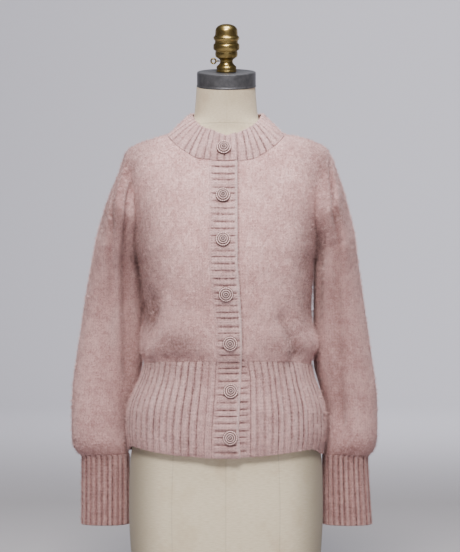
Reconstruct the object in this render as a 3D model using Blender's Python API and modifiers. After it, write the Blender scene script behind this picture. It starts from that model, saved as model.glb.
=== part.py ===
"""Raglan mohair cardigan, buttoned up on a limbless dress form.

Tables hold millimetres and degrees, and meshes are made in metres. X runs to the wearer's left,
Y to the back and Z up, and the origin is under the middle of the form's base. Angles go round the
body from the centre front (0) over the wearer's left side (90) to the centre back (180).
"""
import math

import bmesh
import bpy
import numpy as np
from mathutils import Vector

MM = 0.001
PART = "mohair_cardigan_on_dress_form"
CUTTERS = "shapes_joined_to_others"
LEFT, RIGHT = 1, -1
UP = np.array((0.0, 0.0, 1.0))
UP_VECTOR = Vector((0, 0, 1))

# Walls and seams
CLOTH = 2.3
RIB_BASE = 2.0
RIB_HEIGHT = 1.4
SEAM = 0.25
NECK_GAP = 0.35
BAND_GAP = 0.6
SIDE_SEAM_ANGLE = 0.1
RIB_EDGE = 0.18

# Small steps along and up a surface, used to find which way it faces
ANGLE_STEP = 0.4
HEIGHT_STEP = 0.8
STATION_STEP = 1.5
RING_STEP = 0.004

# Heights at the centre front
HEM_AT_FRONT = 282.0
WAIST_AT_FRONT = 442.0
NECK_AT_FRONT = 776.0

# The buttonhole band lies over the button band, and the right front rises to meet it
BAND_LIFT = 4.2
BAND_LIFT_WIDTH = 25.0
NECKBAND_LIFT = 4.2
UNDERARM_Z = 630.0
RAGLAN_START = 655.0
RAGLAN_END = 896.0
CUFF_SEAM = 273.0

# The raglan seam's wall leans down a little, and its sleeve side turns into the body's own curve
SEAM_WALL_LEAN = 0.15
SEAM_TURN_START = 0.3
SEAM_TURN_LENGTH = 0.3
SEAM_PULL = 0.4
NECK_TURN_START = 0.6
NECK_TURN_LENGTH = 0.4

# Rows of the fronts and the back, as heights at the centre front
PANEL_ROWS = (442, 449, 458, 476, 495, 518, 540, 570, 604, 630)
PANEL_COLUMNS = 9
RAGLAN_ROWS = 10
FRONT_ROWS_AT_CENTRE = 4
PANEL_TIP = 2.4

# Rows and columns of the other pieces
SLEEVE_STATIONS = (280, 298, 340, 400, 465, 530, 590, 630)
SLEEVE_RING = (
    0, 0.035, 0.07, 0.105, 0.14, 0.175, 0.21, 0.245, 0.285, 0.33, 0.38, 0.44, 0.5,
    0.56, 0.62, 0.68, 0.74, 0.80, 0.86, 0.93, 1,
)
CUFF_STATIONS = (150.0, 210.0)
WAIST_ROWS = (0.0, 0.3, 0.6, 0.84, 1.0)
NECKBAND_ROWS = (0.0, 0.35, 0.7, 1.0)
BUTTONHOLE_BAND_COLUMNS = 3
BUTTON_BAND_COLUMNS = 2

# Ribs in each ribbed piece
WAIST_RIBS_FRONT = 16
WAIST_RIBS_BACK = 34
CUFF_RIBS = 22
NECK_RIBS = 50
BAND_RIBS = 43

# Buttons
BUTTON_CLEARANCE = 0.3
BUTTON_SIDES = 12

# Dress form
FORM_SIDES = 28
REST_GAP = 0.3
CAP_TILT = 13.0
CAP_HEIGHT = 25.6
CAP_FOOT = (0.8, -12.0, 913.0)
CAP_SIDES = 24
FINIAL_SIDES = 16
PIN_HEIGHT = 18.0
PIN_INSET = 11.8
PIN_LENGTH = 7.0
PIN_RADIUS = 1.3
PIN_RING_RADIUS = 4.2


def table(names, *rows):
    """A short table, kept as one array for each named column."""
    return {name: np.array(column, float) for name, column in zip(names.split(), zip(*rows))}


# Inside of the knitted body, as flattened rings that get boxier towards the shoulders
TORSO = table(
    "z half_width front back squareness shift",
    (282, 166, 120, 117, 2.1, 0),
    (290, 167, 123, 120, 2.1, 0),
    (320, 170, 125, 123, 2.1, 0.5),
    (352, 169, 124, 121, 2.1, 0.5),
    (386, 158, 119, 114, 2.1, 1),
    (404, 150, 116, 110, 2.1, 2),
    (430, 143, 113, 105, 2.15, 3),
    (437, 142.5, 113.5, 105, 2.15, 3),
    (446, 145, 117, 110, 2.15, 3),
    (462, 148.5, 122, 113, 2.2, 3),
    (490, 146, 124, 112, 2.2, 3),
    (525, 142, 123, 108, 2.2, 3),
    (560, 144, 126, 105, 2.25, 2),
    (600, 148, 129, 104, 2.3, 1),
    (615, 149.5, 128, 104, 2.35, 0.5),
    (630, 153, 127, 104, 2.4, 0),
    (650, 154.5, 123, 103.5, 2.5, 0),
    (670, 155.5, 118, 103, 2.6, 0),
    (700, 158, 110, 102, 2.7, 0),
    (730, 160.5, 101.5, 99, 2.75, 0),
    (760, 161.5, 91, 93, 2.75, 0),
    (785, 161, 80, 85, 2.7, 0),
    (800, 158, 73, 79, 2.6, 0),
    (814.5, 146, 65, 73, 2.5, 0),
    (823, 120, 60, 69, 2.45, 0),
    (829, 92, 56, 66, 2.4, 0),
    (833, 86, 52, 64, 2.35, 0),
    (838, 80, 50, 62, 2.3, 0),
    (840, 78, 49, 61, 2.3, 0),
)

# Soft folds of the body, each along a line from one angle and height to another; minus is a trough
BODY_FOLDS = table(
    "angle z end_angle end_z width depth",
    (44, 508, 56, 457, 13, -9),
    (28, 536, 44.5, 461, 12, 4),
    (70, 472, 88, 468, 16, 6),
    (-62, 536, -63, 493, 14, -8),
    (-48.5, 536, -59, 461, 9, 5),
    (-50, 447, -22, 447, 8, -4),
    (-50, 573, -50, 573, 9, -2.5),
    (62, 603, 62, 603, 10, -3),
    (140, 500, 128, 455, 13, -7),
    (230, 520, 242, 458, 13, -7),
)
FOLD_RADIUS = 130.0

HEM = table(
    "angle z",
    (-90, 282), (-75, 293), (-55, 288), (-30, 283), (0, 281.5), (30, 284), (50, 288), (65, 290),
    (85, 277), (100, 278), (135, 284), (180, 282), (225, 285), (255, 280), (270, 282),
)
WAIST_SEAM = table(
    "angle z", (-90, 430), (-50, 440), (0, 442), (50, 440), (90, 430), (180, 436), (270, 430)
)
NECK_SEAM = table(
    "angle z",
    (0, 776), (15, 777.5), (30, 781.7), (41, 791.6), (51.5, 804), (59, 815), (72, 823.5),
    (90, 829), (120, 833), (150, 838), (180, 840),
)

# Side edges of the two front bands, as X at each height
BUTTONHOLE_BAND = table(
    "z right left",
    (282, -23, 24.5), (330, -22, 21), (378, -18, 23.6), (416, -16, 25.3), (442, -15, 26.5),
    (458, -15, 26.9), (495, -17.3, 26.4), (540, -20.8, 24.1), (604, -28, 19.6), (776, -28, 19.6),
)
BUTTON_BAND = table(
    "z right left",
    (282, -4, 40.5), (378, -4, 40.5), (416, -4, 40), (442, -8, 35.5), (458, -12.5, 30), (495, -17, 20.5),
    (540, -18, 17), (604, -25, 15), (776, -25, 15),
)

# Ridge line of each sleeve, from the cuff's hem over the shoulder to the neckband
SLEEVE_RIDGE = table(
    "station left_x left_y left_z right_x right_y right_z",
    (150, 252, 22, 150, 250.5, 24, 150),
    (210, 248, 21, 210, 250, 24, 210),
    (268, 245, 20, 268, 250, 24, 268),
    (279, 255, 20, 279, 260, 24, 279),
    (290, 260, 20, 290, 266, 24, 290),
    (310, 262, 19, 310, 268, 24, 310),
    (350, 262, 18, 350, 268, 25, 350),
    (386, 260, 17, 386, 266.5, 27, 386),
    (438, 252.5, 16, 438, 260.5, 30, 438),
    (490, 245, 14, 490, 252.5, 32, 490),
    (543, 237, 12, 543, 244.5, 29, 543),
    (595, 229.5, 10, 595, 234.5, 22, 595),
    (630, 224.5, 8, 630, 227, 14, 630),
    (655, 221, 7, 655, 221.5, 9, 655),
    (693, 212, 6.5, 692, 210.5, 7, 692),
    (735, 201, 6, 733, 196, 6, 733),
    (768, 190.5, 5.5, 764, 184, 5.5, 764),
    (793, 182.5, 5, 788, 177, 5, 786),
    (811, 173, 4.5, 804, 169.5, 4.5, 800.5),
    (838, 150, 4, 817, 148.5, 4, 813.5),
    (866, 122, 2.5, 825, 119.5, 2.5, 821.5),
    (896, 92, 0, 829, 92, 0, 829),
)

# Under line of the closed sleeve, on the side that faces the body; the spread turns it outwards
SLEEVE_UNDER = table(
    "station z left_x left_y left_spread right_x right_y right_spread",
    (150, 150, 173, 24, 0, 173, 26, 0),
    (268, 268, 172.5, 24, 0, 173, 27, 0),
    (279, 279, 174, 25, 0, 174.5, 29, 0),
    (290, 290, 175.5, 27, 0, 176, 32, 0),
    (310, 310, 177.5, 30, 0, 177, 36, 0.1),
    (350, 350, 177, 32, 0, 172, 40, 0.25),
    (386, 386, 168.5, 32, 0, 159, 45, 0.38),
    (438, 436, 160, 31, 0, 149, 48, 0.38),
    (490, 486, 158, 29, 0, 145, 50, 0.38),
    (543, 536, 157, 25, 0, 146, 47, 0.38),
    (595, 582, 157, 17, 0, 150, 32, 0.38),
    (630, 610, 157.5, 8, 0.2, 154.5, 14, 0.38),
    (655, 630, 153, 0, 0.38, 153, 0, 0.38),
)

# How far the sleeve bellies out to the front and to the back of those lines
SLEEVE_REACH = table(
    "station front back",
    (150, 24, 24), (210, 24, 24), (268, 24, 25), (279, 31, 32), (290, 38, 40), (310, 42, 45),
    (350, 44, 48), (386, 46, 50), (438, 48, 52), (490, 50, 55), (543, 53, 58), (595, 57, 62),
    (630, 60, 65), (655, 62, 67), (693, 60, 64), (735, 56, 60), (768, 50, 54), (793, 42, 46),
    (811, 34, 38), (838, 28, 32), (866, 22, 26), (896, 18, 18),
)

# Raglan seams, as angle and height on the body
RAGLAN = table(
    "station left_front left_front_z right_front right_front_z back back_z",
    (655, 90, 630, 90, 630, 90, 630),
    (693, 82, 652, 83, 655, 98, 655),
    (735, 74, 688, 76, 690, 104, 690),
    (768, 72, 714, 76, 716, 108, 720),
    (793, 67, 739, 73, 732, 111, 745),
    (811, 63.5, 764, 70.5, 752, 114, 770),
    (838, 61.5, 786, 67.3, 778, 118, 795),
    (866, 59, 799, 62, 792, 123, 815),
    (896, 54.5, 808.3, 51, 803.4, 128, 834.2),
)

# Long troughs down each sleeve: the ring fraction at each ridge height, and their depth
SLEEVE_FOLDS = (
    {"side": LEFT, "height": (290, 735, 795), "ring": (0.19, 0.25, 0.40), "width": 0.027, "depth": 8},
    {"side": LEFT, "height": (540, 640, 720), "ring": (0.10, 0.08, 0.06), "width": 0.030, "depth": 7},
    {"side": LEFT, "height": (330, 560, 740), "ring": (0.78, 0.74, 0.62), "width": 0.035, "depth": 8},
    {"side": RIGHT, "height": (520, 560, 650, 717, 790), "ring": (0.24, 0.256, 0.29, 0.35, 0.42),
     "width": 0.027, "depth": 8},
    {"side": RIGHT, "height": (420, 460, 545, 650, 717), "ring": (0.15, 0.15, 0.167, 0.16, 0.095),
     "width": 0.030, "depth": 10},
    {"side": RIGHT, "height": (360, 600, 750), "ring": (0.80, 0.72, 0.62), "width": 0.035, "depth": 8},
)
FOLD_FADE = 35.0

NECKBAND_TOP = table("angle z", (0, 820), (45, 842), (90, 865), (135, 869), (180, 870))
NECKBAND_TOP_HALF_WIDTH = 59.5
NECKBAND_TOP_FRONT = 67.0
NECKBAND_TOP_BACK = 58.0
NECKBAND_TOP_SHIFT = 1.5
NECKBAND_BOW = 2.0
NECKBAND_TURN = 2.5
NECKBAND_UNDER_END_X = -24.0
NECKBAND_TOP_END_X = 19.6
NECKBAND_LIFT_START = 322.0
NECKBAND_LIFT_END = 341.0

BUTTONS = table(
    "x z", (-4.7, 718), (-4.7, 644), (0.3, 555), (7, 473), (7.8, 391.5), (7, 316)
)
NECK_BUTTON_X = -4.0
NECK_BUTTON_Z = 798.0
NECK_BUTTON_PLACE = 0.5

# Profile of a button, from the middle of its dome over the coils of cord to the flat back
BUTTON_PROFILE = table(
    "radius height",
    (0, 6.6), (2.4, 6.3), (3.3, 5.3), (5.7, 5.9), (7.2, 4.6), (9.8, 4.5), (12.2, 2.4), (11.2, 0), (0, 0),
)

# Rings of the dress form, from its base to the top of its neck
FORM = table(
    "z half_width front back squareness lean",
    (12, 150, 100, 105, 2.1, 0),
    (104, 165, 112, 120, 2.1, 0),
    (180, 168.5, 114.5, 123, 2.1, 0),
    (245, 167.7, 112.5, 118, 2.1, 0),
    (300, 161.5, 109, 108, 2.1, 0),
    (360, 147, 100, 98, 2.1, 0),
    (410, 130, 92, 90, 2.1, 0),
    (460, 119, 88, 86, 2.15, 0),
    (530, 128, 105, 90, 2.2, 0),
    (600, 140, 122, 97, 2.3, 0),
    (650, 143, 117, 97, 2.5, 0),
    (700, 148, 103, 95, 2.7, 0),
    (760, 157, 85, 87, 2.75, 0),
    (785, 157.5, 75, 80, 2.7, 0),
    (797, 154, 67, 73, 2.6, 0),
    (809.6, 142, 60, 67.5, 2.5, 0),
    (818.4, 116, 55, 63.5, 2.45, 0),
    (827.2, 90, 51, 60, 2.4, 0),
    (835, 78, 49, 57, 2.3, 0),
    (845, 65, 50, 54, 2.2, 0),
    (861, 56, 51, 51, 2.0, -1),
    (886, 53, 50.5, 50.5, 2.0, -5),
    (912.6, 51, 50.5, 50.5, 2.0, -12),
)
NECK_TILT_START = 845.0
NECK_TILT_END = 912.6

BASE_PROFILE = table("z inset", (0, 2.5), (2.5, 0), (9.2, 0), (11.7, 2.5))
BASE_HALF_WIDTH = 156.0
BASE_FRONT = 106.0
BASE_BACK = 111.0

# Turned fittings, from the top of the axis down the outside to the bottom of the axis
CAP_PROFILE = table(
    "radius height",
    (0, 25.6), (49.6, 25.6), (51.0, 24.4), (51.0, 3.6), (51.6, 2.6), (51.6, 0), (0, 0),
)
FINIAL_PROFILE = table(
    "radius height",
    (0, 81.5), (10.5, 79.6), (18.6, 73.5), (19.4, 63.0), (22.4, 58.5), (20.2, 52.0), (22.6, 47.0),
    (22.6, 38.5), (19.2, 35.0), (18.9, 26.0), (11.4, 20.5), (11.4, 15.0), (17.2, 9.0), (17.6, 0), (0, 0),
)


def smooth_track(knots, values, at):
    """A smooth curve through a table's column that never overshoots its rows."""
    at = np.clip(np.asarray(at, float), knots[0], knots[-1])
    steps = np.diff(knots)
    slopes = np.diff(values) / steps
    same_way = slopes[:-1] * slopes[1:] > 0
    before = np.where(same_way, slopes[:-1], 1.0)
    after = np.where(same_way, slopes[1:], 1.0)
    weight_before = 2 * steps[1:] + steps[:-1]
    weight_after = steps[1:] + 2 * steps[:-1]
    mean = (weight_before + weight_after) / (weight_before / before + weight_after / after)
    tangents = np.concatenate((slopes[:1], np.where(same_way, mean, 0.0), slopes[-1:]))
    index = np.clip(np.searchsorted(knots, at, side="right") - 1, 0, len(steps) - 1)
    step = steps[index]
    t = (at - knots[index]) / step
    start = (1 + 2 * t) * (1 - t) ** 2 * values[index] + t * (1 - t) ** 2 * step * tangents[index]
    end = t * t * (3 - 2 * t) * values[index + 1] - t * t * (1 - t) * step * tangents[index + 1]
    return start + end


def column(rows, key, name, at):
    return smooth_track(rows[key], rows[name], at)


def ease(value):
    """0 below 0 and 1 above 1, with a soft start and end."""
    value = np.clip(value, 0.0, 1.0)
    return value * value * (3 - 2 * value)


def unit(vectors):
    return vectors / np.maximum(np.linalg.norm(vectors, axis=-1, keepdims=True), 1e-9)


def level(vectors):
    """The same directions without their rise or fall."""
    return unit(vectors * np.array((1.0, 1.0, 0.0)))


def points(x, y, z):
    return np.stack(np.broadcast_arrays(x, y, z), axis=-1).astype(float)


def dot(a, b):
    return np.sum(a * b, axis=-1, keepdims=True)


def wrapped(angle, start):
    """The same direction as an angle from start up to start + 360."""
    return np.mod(np.asarray(angle, float) - start, 360.0) + start


def band_edge(edges, name, z):
    """X of a band's side edge, straight between the rows of the pieces beside it."""
    return np.interp(z, edges["z"], edges[name])


def hem_z(angle):
    return column(HEM, "angle", "z", wrapped(angle, -90))


def waist_z(angle):
    return column(WAIST_SEAM, "angle", "z", wrapped(angle, -90))


def neck_z(angle):
    return column(NECK_SEAM, "angle", "z", np.abs(wrapped(angle, -180)))


def ring_radius(angle, half_width, depth, squareness):
    """Radius of a flattened ring whose corners fill out as its squareness grows."""
    across = np.abs(np.sin(np.radians(angle))) / half_width
    along = np.abs(np.cos(np.radians(angle))) / depth
    return (across ** squareness + along ** squareness) ** (-1 / squareness)


def body_folds(angle, z):
    """How far the folds push the body's cloth in or out."""
    total = 0.0
    for fold in zip(*BODY_FOLDS.values()):
        start_angle, start_z, end_angle, end_z, width, depth = fold
        run = math.radians(end_angle - start_angle) * FOLD_RADIUS
        rise = end_z - start_z
        u = np.radians(wrapped(angle - start_angle, -180)) * FOLD_RADIUS
        v = z - start_z
        along = np.clip((u * run + v * rise) / max(run * run + rise * rise, 1e-6), 0, 1)
        square = (u - along * run) ** 2 + (v - along * rise) ** 2
        total = total + depth * np.exp(-square / width ** 2)
    return total


def torso(angle, z):
    """Inside of the body's cloth at an angle and a height."""
    angle, z = np.broadcast_arrays(np.asarray(angle, float), np.asarray(z, float))
    front = np.cos(np.radians(angle)) > 0
    depth = np.where(front, column(TORSO, "z", "front", z), column(TORSO, "z", "back", z))
    half_width = column(TORSO, "z", "half_width", z)
    squareness = column(TORSO, "z", "squareness", z)
    radius = ring_radius(angle, half_width, depth, squareness) + body_folds(angle, z)
    turn = np.radians(angle)
    return points(radius * np.sin(turn) + column(TORSO, "z", "shift", z), -radius * np.cos(turn), z)


def torso_normal(angle, z):
    across = torso(angle + ANGLE_STEP, z) - torso(angle - ANGLE_STEP, z)
    upward = torso(angle, z + HEIGHT_STEP) - torso(angle, z - HEIGHT_STEP)
    return unit(np.cross(across, upward))


def front_angle(x, z):
    """The angle at which the body's front has this X at this height."""
    low = np.full(np.broadcast(x, z).shape, -80.0)
    high = -low
    for _ in range(30):
        middle = (low + high) / 2
        short = torso(middle, z)[..., 0] < x
        low = np.where(short, middle, low)
        high = np.where(short, high, middle)
    return (low + high) / 2


def neck_seam(angle):
    """Point on the neck seam, the wall's direction there, and the way down from the neckband."""
    point = torso(angle, neck_z(angle))
    normal = torso_normal(angle, neck_z(angle))
    ahead, behind = angle + ANGLE_STEP, angle - ANGLE_STEP
    along = torso(ahead, neck_z(ahead)) - torso(behind, neck_z(behind))
    return point, normal, unit(np.cross(along, normal))


def right_lift(points_in, z):
    """How far the right front rises where it nears the buttonhole band."""
    seam_x = band_edge(BUTTONHOLE_BAND, "right", z)
    return BAND_LIFT * ease(1 - (seam_x - points_in[..., 0]) / BAND_LIFT_WIDTH)


def bezier(a, b, c, d, t):
    return (1 - t) ** 3 * a + 3 * (1 - t) ** 2 * t * b + 3 * (1 - t) * t * t * c + t ** 3 * d


def raglan_place(side, where, station):
    """Angle and height on the body of a raglan seam."""
    name = "back" if where == "back" else ("left_front" if side == LEFT else "right_front")
    angle = column(RAGLAN, "station", name, station)
    z = column(RAGLAN, "station", name + "_z", station)
    return side * angle, z


def side_name(side):
    return "left" if side == LEFT else "right"


def ridge(side, station):
    """Point on a sleeve's ridge line."""
    name = side_name(side)
    x, y, z = (column(SLEEVE_RIDGE, "station", name + part, station) for part in ("_x", "_y", "_z"))
    return points(side * x, y, z)


def sleeve_edge(side, where, station, top):
    """Where a sleeve's ring starts or ends, and which way it leaves that point."""
    angle, z = raglan_place(side, where, station)
    on_body = torso(angle, z)
    name = side_name(side)
    x, y, spread = (
        column(SLEEVE_UNDER, "station", name + part, station) for part in ("_x", "_y", "_spread")
    )
    under = points(side * x, y, column(SLEEVE_UNDER, "station", "z", station))
    point = np.where((station > RAGLAN_START)[..., None], on_body, under)
    forward = 1 if where == "back" else -1
    rise = (station - RAGLAN_START) / (RAGLAN_END - RAGLAN_START)
    loose = unit(points(side * spread, forward * 0.95, 0.0))
    loose = loose * column(SLEEVE_REACH, "station", where, station)[..., None] * 4 / 3
    normal = torso_normal(angle, z)
    span = top - point
    flat = unit(span - dot(span, normal) * normal)
    flat = flat * np.linalg.norm(span, axis=-1, keepdims=True) * SEAM_PULL
    weight = ease((rise - SEAM_TURN_START) / SEAM_TURN_LENGTH)[..., None]
    return point, loose * (1 - weight) + flat * weight


def sleeve_neck_angle(side, ring):
    """The angle on the neck seam at which a sleeve's ring fraction ends."""
    front_end, _ = raglan_place(side, "front", RAGLAN_END)
    back_end, _ = raglan_place(side, "back", RAGLAN_END)
    before = front_end + (side * 90 - front_end) * ring * 2
    after = side * 90 + (back_end - side * 90) * (ring * 2 - 1)
    return np.where(ring < 0.5, before, after)


def sleeve_plain(side, station, ring):
    """Inside of a sleeve before its folds, round a ring from the front seam over the ridge to the back."""
    station, ring = np.broadcast_arrays(np.asarray(station, float), np.asarray(ring, float))
    top = ridge(side, station)
    front, front_way = sleeve_edge(side, "front", station, top)
    back, back_way = sleeve_edge(side, "back", station, top)
    front_reach = points(0, -4 / 3 * column(SLEEVE_REACH, "station", "front", station), 0)
    back_reach = points(0, 4 / 3 * column(SLEEVE_REACH, "station", "back", station), 0)
    share = ring[..., None]
    first = bezier(front, front + front_way, top + front_reach, top, np.clip(share * 2, 0, 1))
    second = bezier(top, top + back_reach, back + back_way, back, np.clip(share * 2 - 1, 0, 1))
    loft = np.where(share < 0.5, first, second)
    # The last rings turn into the neck seam's own curve
    seam_angle = sleeve_neck_angle(side, ring)
    seam_ends = [neck_seam(sleeve_neck_angle(side, np.array(place)))[0] for place in (0.0, 0.5, 1.0)]
    drift_front = (front - seam_ends[0]) * np.clip(1 - share * 2, 0, 1)
    drift_top = (top - seam_ends[1]) * (1 - np.abs(share * 2 - 1))
    drift_back = (back - seam_ends[2]) * np.clip(share * 2 - 1, 0, 1)
    seam_curve = neck_seam(seam_angle)[0] + drift_front + drift_top + drift_back
    rise = (station - RAGLAN_START) / (RAGLAN_END - RAGLAN_START)
    weight = ease((rise - NECK_TURN_START) / NECK_TURN_LENGTH)[..., None]
    return loft * (1 - weight) + seam_curve * weight


def sleeve_normal(side, station, ring):
    station, ring = np.broadcast_arrays(np.asarray(station, float), np.asarray(ring, float))
    low, high = np.clip(ring - RING_STEP, 0, 1), np.clip(ring + RING_STEP, 0, 1)
    across = sleeve_plain(side, station, high) - sleeve_plain(side, station, low)
    above = sleeve_plain(side, station + STATION_STEP, ring)
    below = sleeve_plain(side, station - STATION_STEP, ring)
    return side * unit(np.cross(across, above - below))


def sleeve_fold(side, station, ring):
    """How deep the sleeve's long troughs are at a place."""
    height = ridge(side, station)[..., 2]
    total = 0.0
    for fold in SLEEVE_FOLDS:
        if fold["side"] != side:
            continue
        middle = np.interp(height, fold["height"], fold["ring"])
        from_foot = ease((height - fold["height"][0]) / FOLD_FADE)
        from_head = ease((fold["height"][-1] - height) / FOLD_FADE)
        trough = np.exp(-((ring - middle) / fold["width"]) ** 2)
        total = total + fold["depth"] * from_foot * from_head * trough
    return total


def sleeve(side, station, ring):
    """Inside of a sleeve, and the way its wall faces."""
    station, ring = np.broadcast_arrays(np.asarray(station, float), np.asarray(ring, float))
    normal = sleeve_normal(side, station, ring)
    trough = sleeve_fold(side, station, ring)[..., None]
    return sleeve_plain(side, station, ring) - normal * trough, normal


def raglan_seam(side, where, station):
    """Points on a raglan seam, the wall's direction and length there, and the way to the sleeve."""
    angle, z = raglan_place(side, where, station)
    point = torso(angle, z)
    ring = 0.0 if where == "front" else 1.0
    body_way = torso_normal(angle, z)
    sleeve_way = sleeve_normal(side, np.maximum(station, RAGLAN_START + 1), ring)
    wall_way = unit(body_way + sleeve_way - SEAM_WALL_LEAN * UP)
    length = 1 / np.clip(dot(wall_way, body_way), 0.5, 1)
    low = np.maximum(station - 2, RAGLAN_START)
    high = np.minimum(station + 2, RAGLAN_END)
    along = torso(*raglan_place(side, where, high)) - torso(*raglan_place(side, where, low))
    inward = -side if where == "front" else side
    panel_way = unit(torso(angle + 2 * inward, z) - point)
    nearby = np.full_like(station, 0.01 if where == "front" else 0.99)
    leave = unit(sleeve_plain(side, np.maximum(station, RAGLAN_START + 1), nearby) - point)
    to_sleeve = unit(np.cross(along, wall_way))
    to_sleeve = to_sleeve * np.sign(dot(to_sleeve, leave - panel_way))
    return point, wall_way * length, to_sleeve


def even_places(curve, places, fractions):
    """The places along a curve that part it into even lengths."""
    lengths = np.concatenate(([0.0], np.cumsum(np.linalg.norm(np.diff(curve, axis=0), axis=1))))
    return np.interp(np.asarray(fractions) * lengths[-1], lengths, places)


def rib_columns(count):
    """Places and heights across a number of ribs: a narrow groove, then a wide raised column."""
    places = [(rib + part) / count for rib in range(count) for part in (0, RIB_EDGE, 1 - RIB_EDGE)]
    heights = [0.0, RIB_HEIGHT, RIB_HEIGHT] * count
    return np.array(places + [1.0]), np.array(heights + [0.0])


def numbered(grid, vertices, ring_rows):
    """A number for each point of a grid; a closed row's last point is its first."""
    numbers = np.zeros(grid.shape[:2], int)
    last = grid.shape[1] - 1
    for row in range(grid.shape[0]):
        for place in range(grid.shape[1]):
            if row < ring_rows and place == last:
                numbers[row, place] = numbers[row, 0]
                continue
            numbers[row, place] = len(vertices)
            vertices.append(grid[row, place] * MM)
    return numbers


def grid_faces(numbers):
    rows, columns = numbers.shape
    return [
        (numbers[r, c], numbers[r, c + 1], numbers[r + 1, c + 1], numbers[r + 1, c])
        for r in range(rows - 1)
        for c in range(columns - 1)
    ]


def rim_faces(inner, outer):
    """The edge of a wall along one row. A ribbed outside has three steps for each inner one."""
    step = (len(outer) - 1) // (len(inner) - 1)
    faces = []
    for place in range(len(inner) - 1):
        a, b = inner[place], inner[place + 1]
        o = outer[place * step:place * step + step + 1]
        if step == 1:
            faces.append((a, o[0], o[1], b))
        else:
            faces += [(a, o[0], o[1]), (a, o[1], o[2], b), (b, o[2], o[3])]
    return faces


def new_object(name, vertices, faces, material):
    mesh = bpy.data.meshes.new(name)
    corners = [tuple(int(corner) for corner in face) for face in faces]
    mesh.from_pydata([tuple(vertex) for vertex in vertices], [], corners)
    work = bmesh.new()
    work.from_mesh(mesh)
    bmesh.ops.recalc_face_normals(work, faces=work.faces)
    work.to_mesh(mesh)
    work.free()
    piece = bpy.data.objects.new(name, mesh)
    bpy.data.collections[PART].objects.link(piece)
    mesh.materials.append(material)
    mesh.shade_smooth()
    return piece


def wall(name, inside, outside, material, ring_rows=0):
    """A closed wall between an inner and an outer grid of points, in rows of the same number."""
    vertices = []
    inner = numbered(inside, vertices, ring_rows)
    outer = numbered(outside, vertices, ring_rows)
    faces = grid_faces(inner) + grid_faces(outer)
    faces += rim_faces(inner[0], outer[0]) + rim_faces(inner[-1], outer[-1])
    for row in range(max(ring_rows - 1, 0), len(inner) - 1):
        for edge in (0, -1):
            faces.append((inner[row, edge], outer[row, edge], outer[row + 1, edge], inner[row + 1, edge]))
    return new_object(name, vertices, faces, material)


def linear_color(code):
    """A colour from its sRGB code."""
    parts = [int(code[start:start + 2], 16) / 255 for start in (1, 3, 5)]
    return tuple(p / 12.92 if p <= 0.04045 else ((p + 0.055) / 1.055) ** 2.4 for p in parts) + (1.0,)


def finish(name, code, roughness, metallic=0.0):
    material = bpy.data.materials.new(name)
    material.use_nodes = True
    shader = material.node_tree.nodes["Principled BSDF"]
    shader.inputs["Base Color"].default_value = linear_color(code)
    shader.inputs["Roughness"].default_value = roughness
    shader.inputs["Metallic"].default_value = metallic
    return material


def raglan_stations():
    return np.linspace(RAGLAN_START, RAGLAN_END, RAGLAN_ROWS + 1)


def centre_front_x(side, z):
    """X of the seam between a front and its band."""
    if side == LEFT:
        return band_edge(BUTTON_BAND, "left", z) + BAND_GAP
    return band_edge(BUTTONHOLE_BAND, "right", z) - BAND_GAP


def centre_front_angle(side, z):
    return front_angle(centre_front_x(side, z), z)


def lower_rows(start_angle, end_angle, shares, heights):
    """Angles and heights of rows from the waist seam up to the underarm."""
    heights = np.array(heights, float)[:, None]
    z = np.broadcast_to(heights, (len(heights), len(shares)))
    fractions = (heights - heights[0]) / (heights[-1] - heights[0])
    for _ in range(3):
        start = start_angle(z[:, 0])[:, None]
        angle = start + (end_angle - start) * shares
        foot = waist_z(angle) + SEAM
        z = foot + fractions * (UNDERARM_Z - foot)
    return angle, z


def seat_raglan(inside, outside, edge, side, where, first_row):
    """Move a panel's edge to the raglan seam, its half of the gap away from the sleeve."""
    point, wall_way, to_sleeve = raglan_seam(side, where, raglan_stations())
    point = point - SEAM * to_sleeve
    point[0, 1] += SEAM if where == "back" else -SEAM
    inside[first_row:, edge] = point
    outside[first_row:, edge] = point + CLOTH * wall_way


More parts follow.
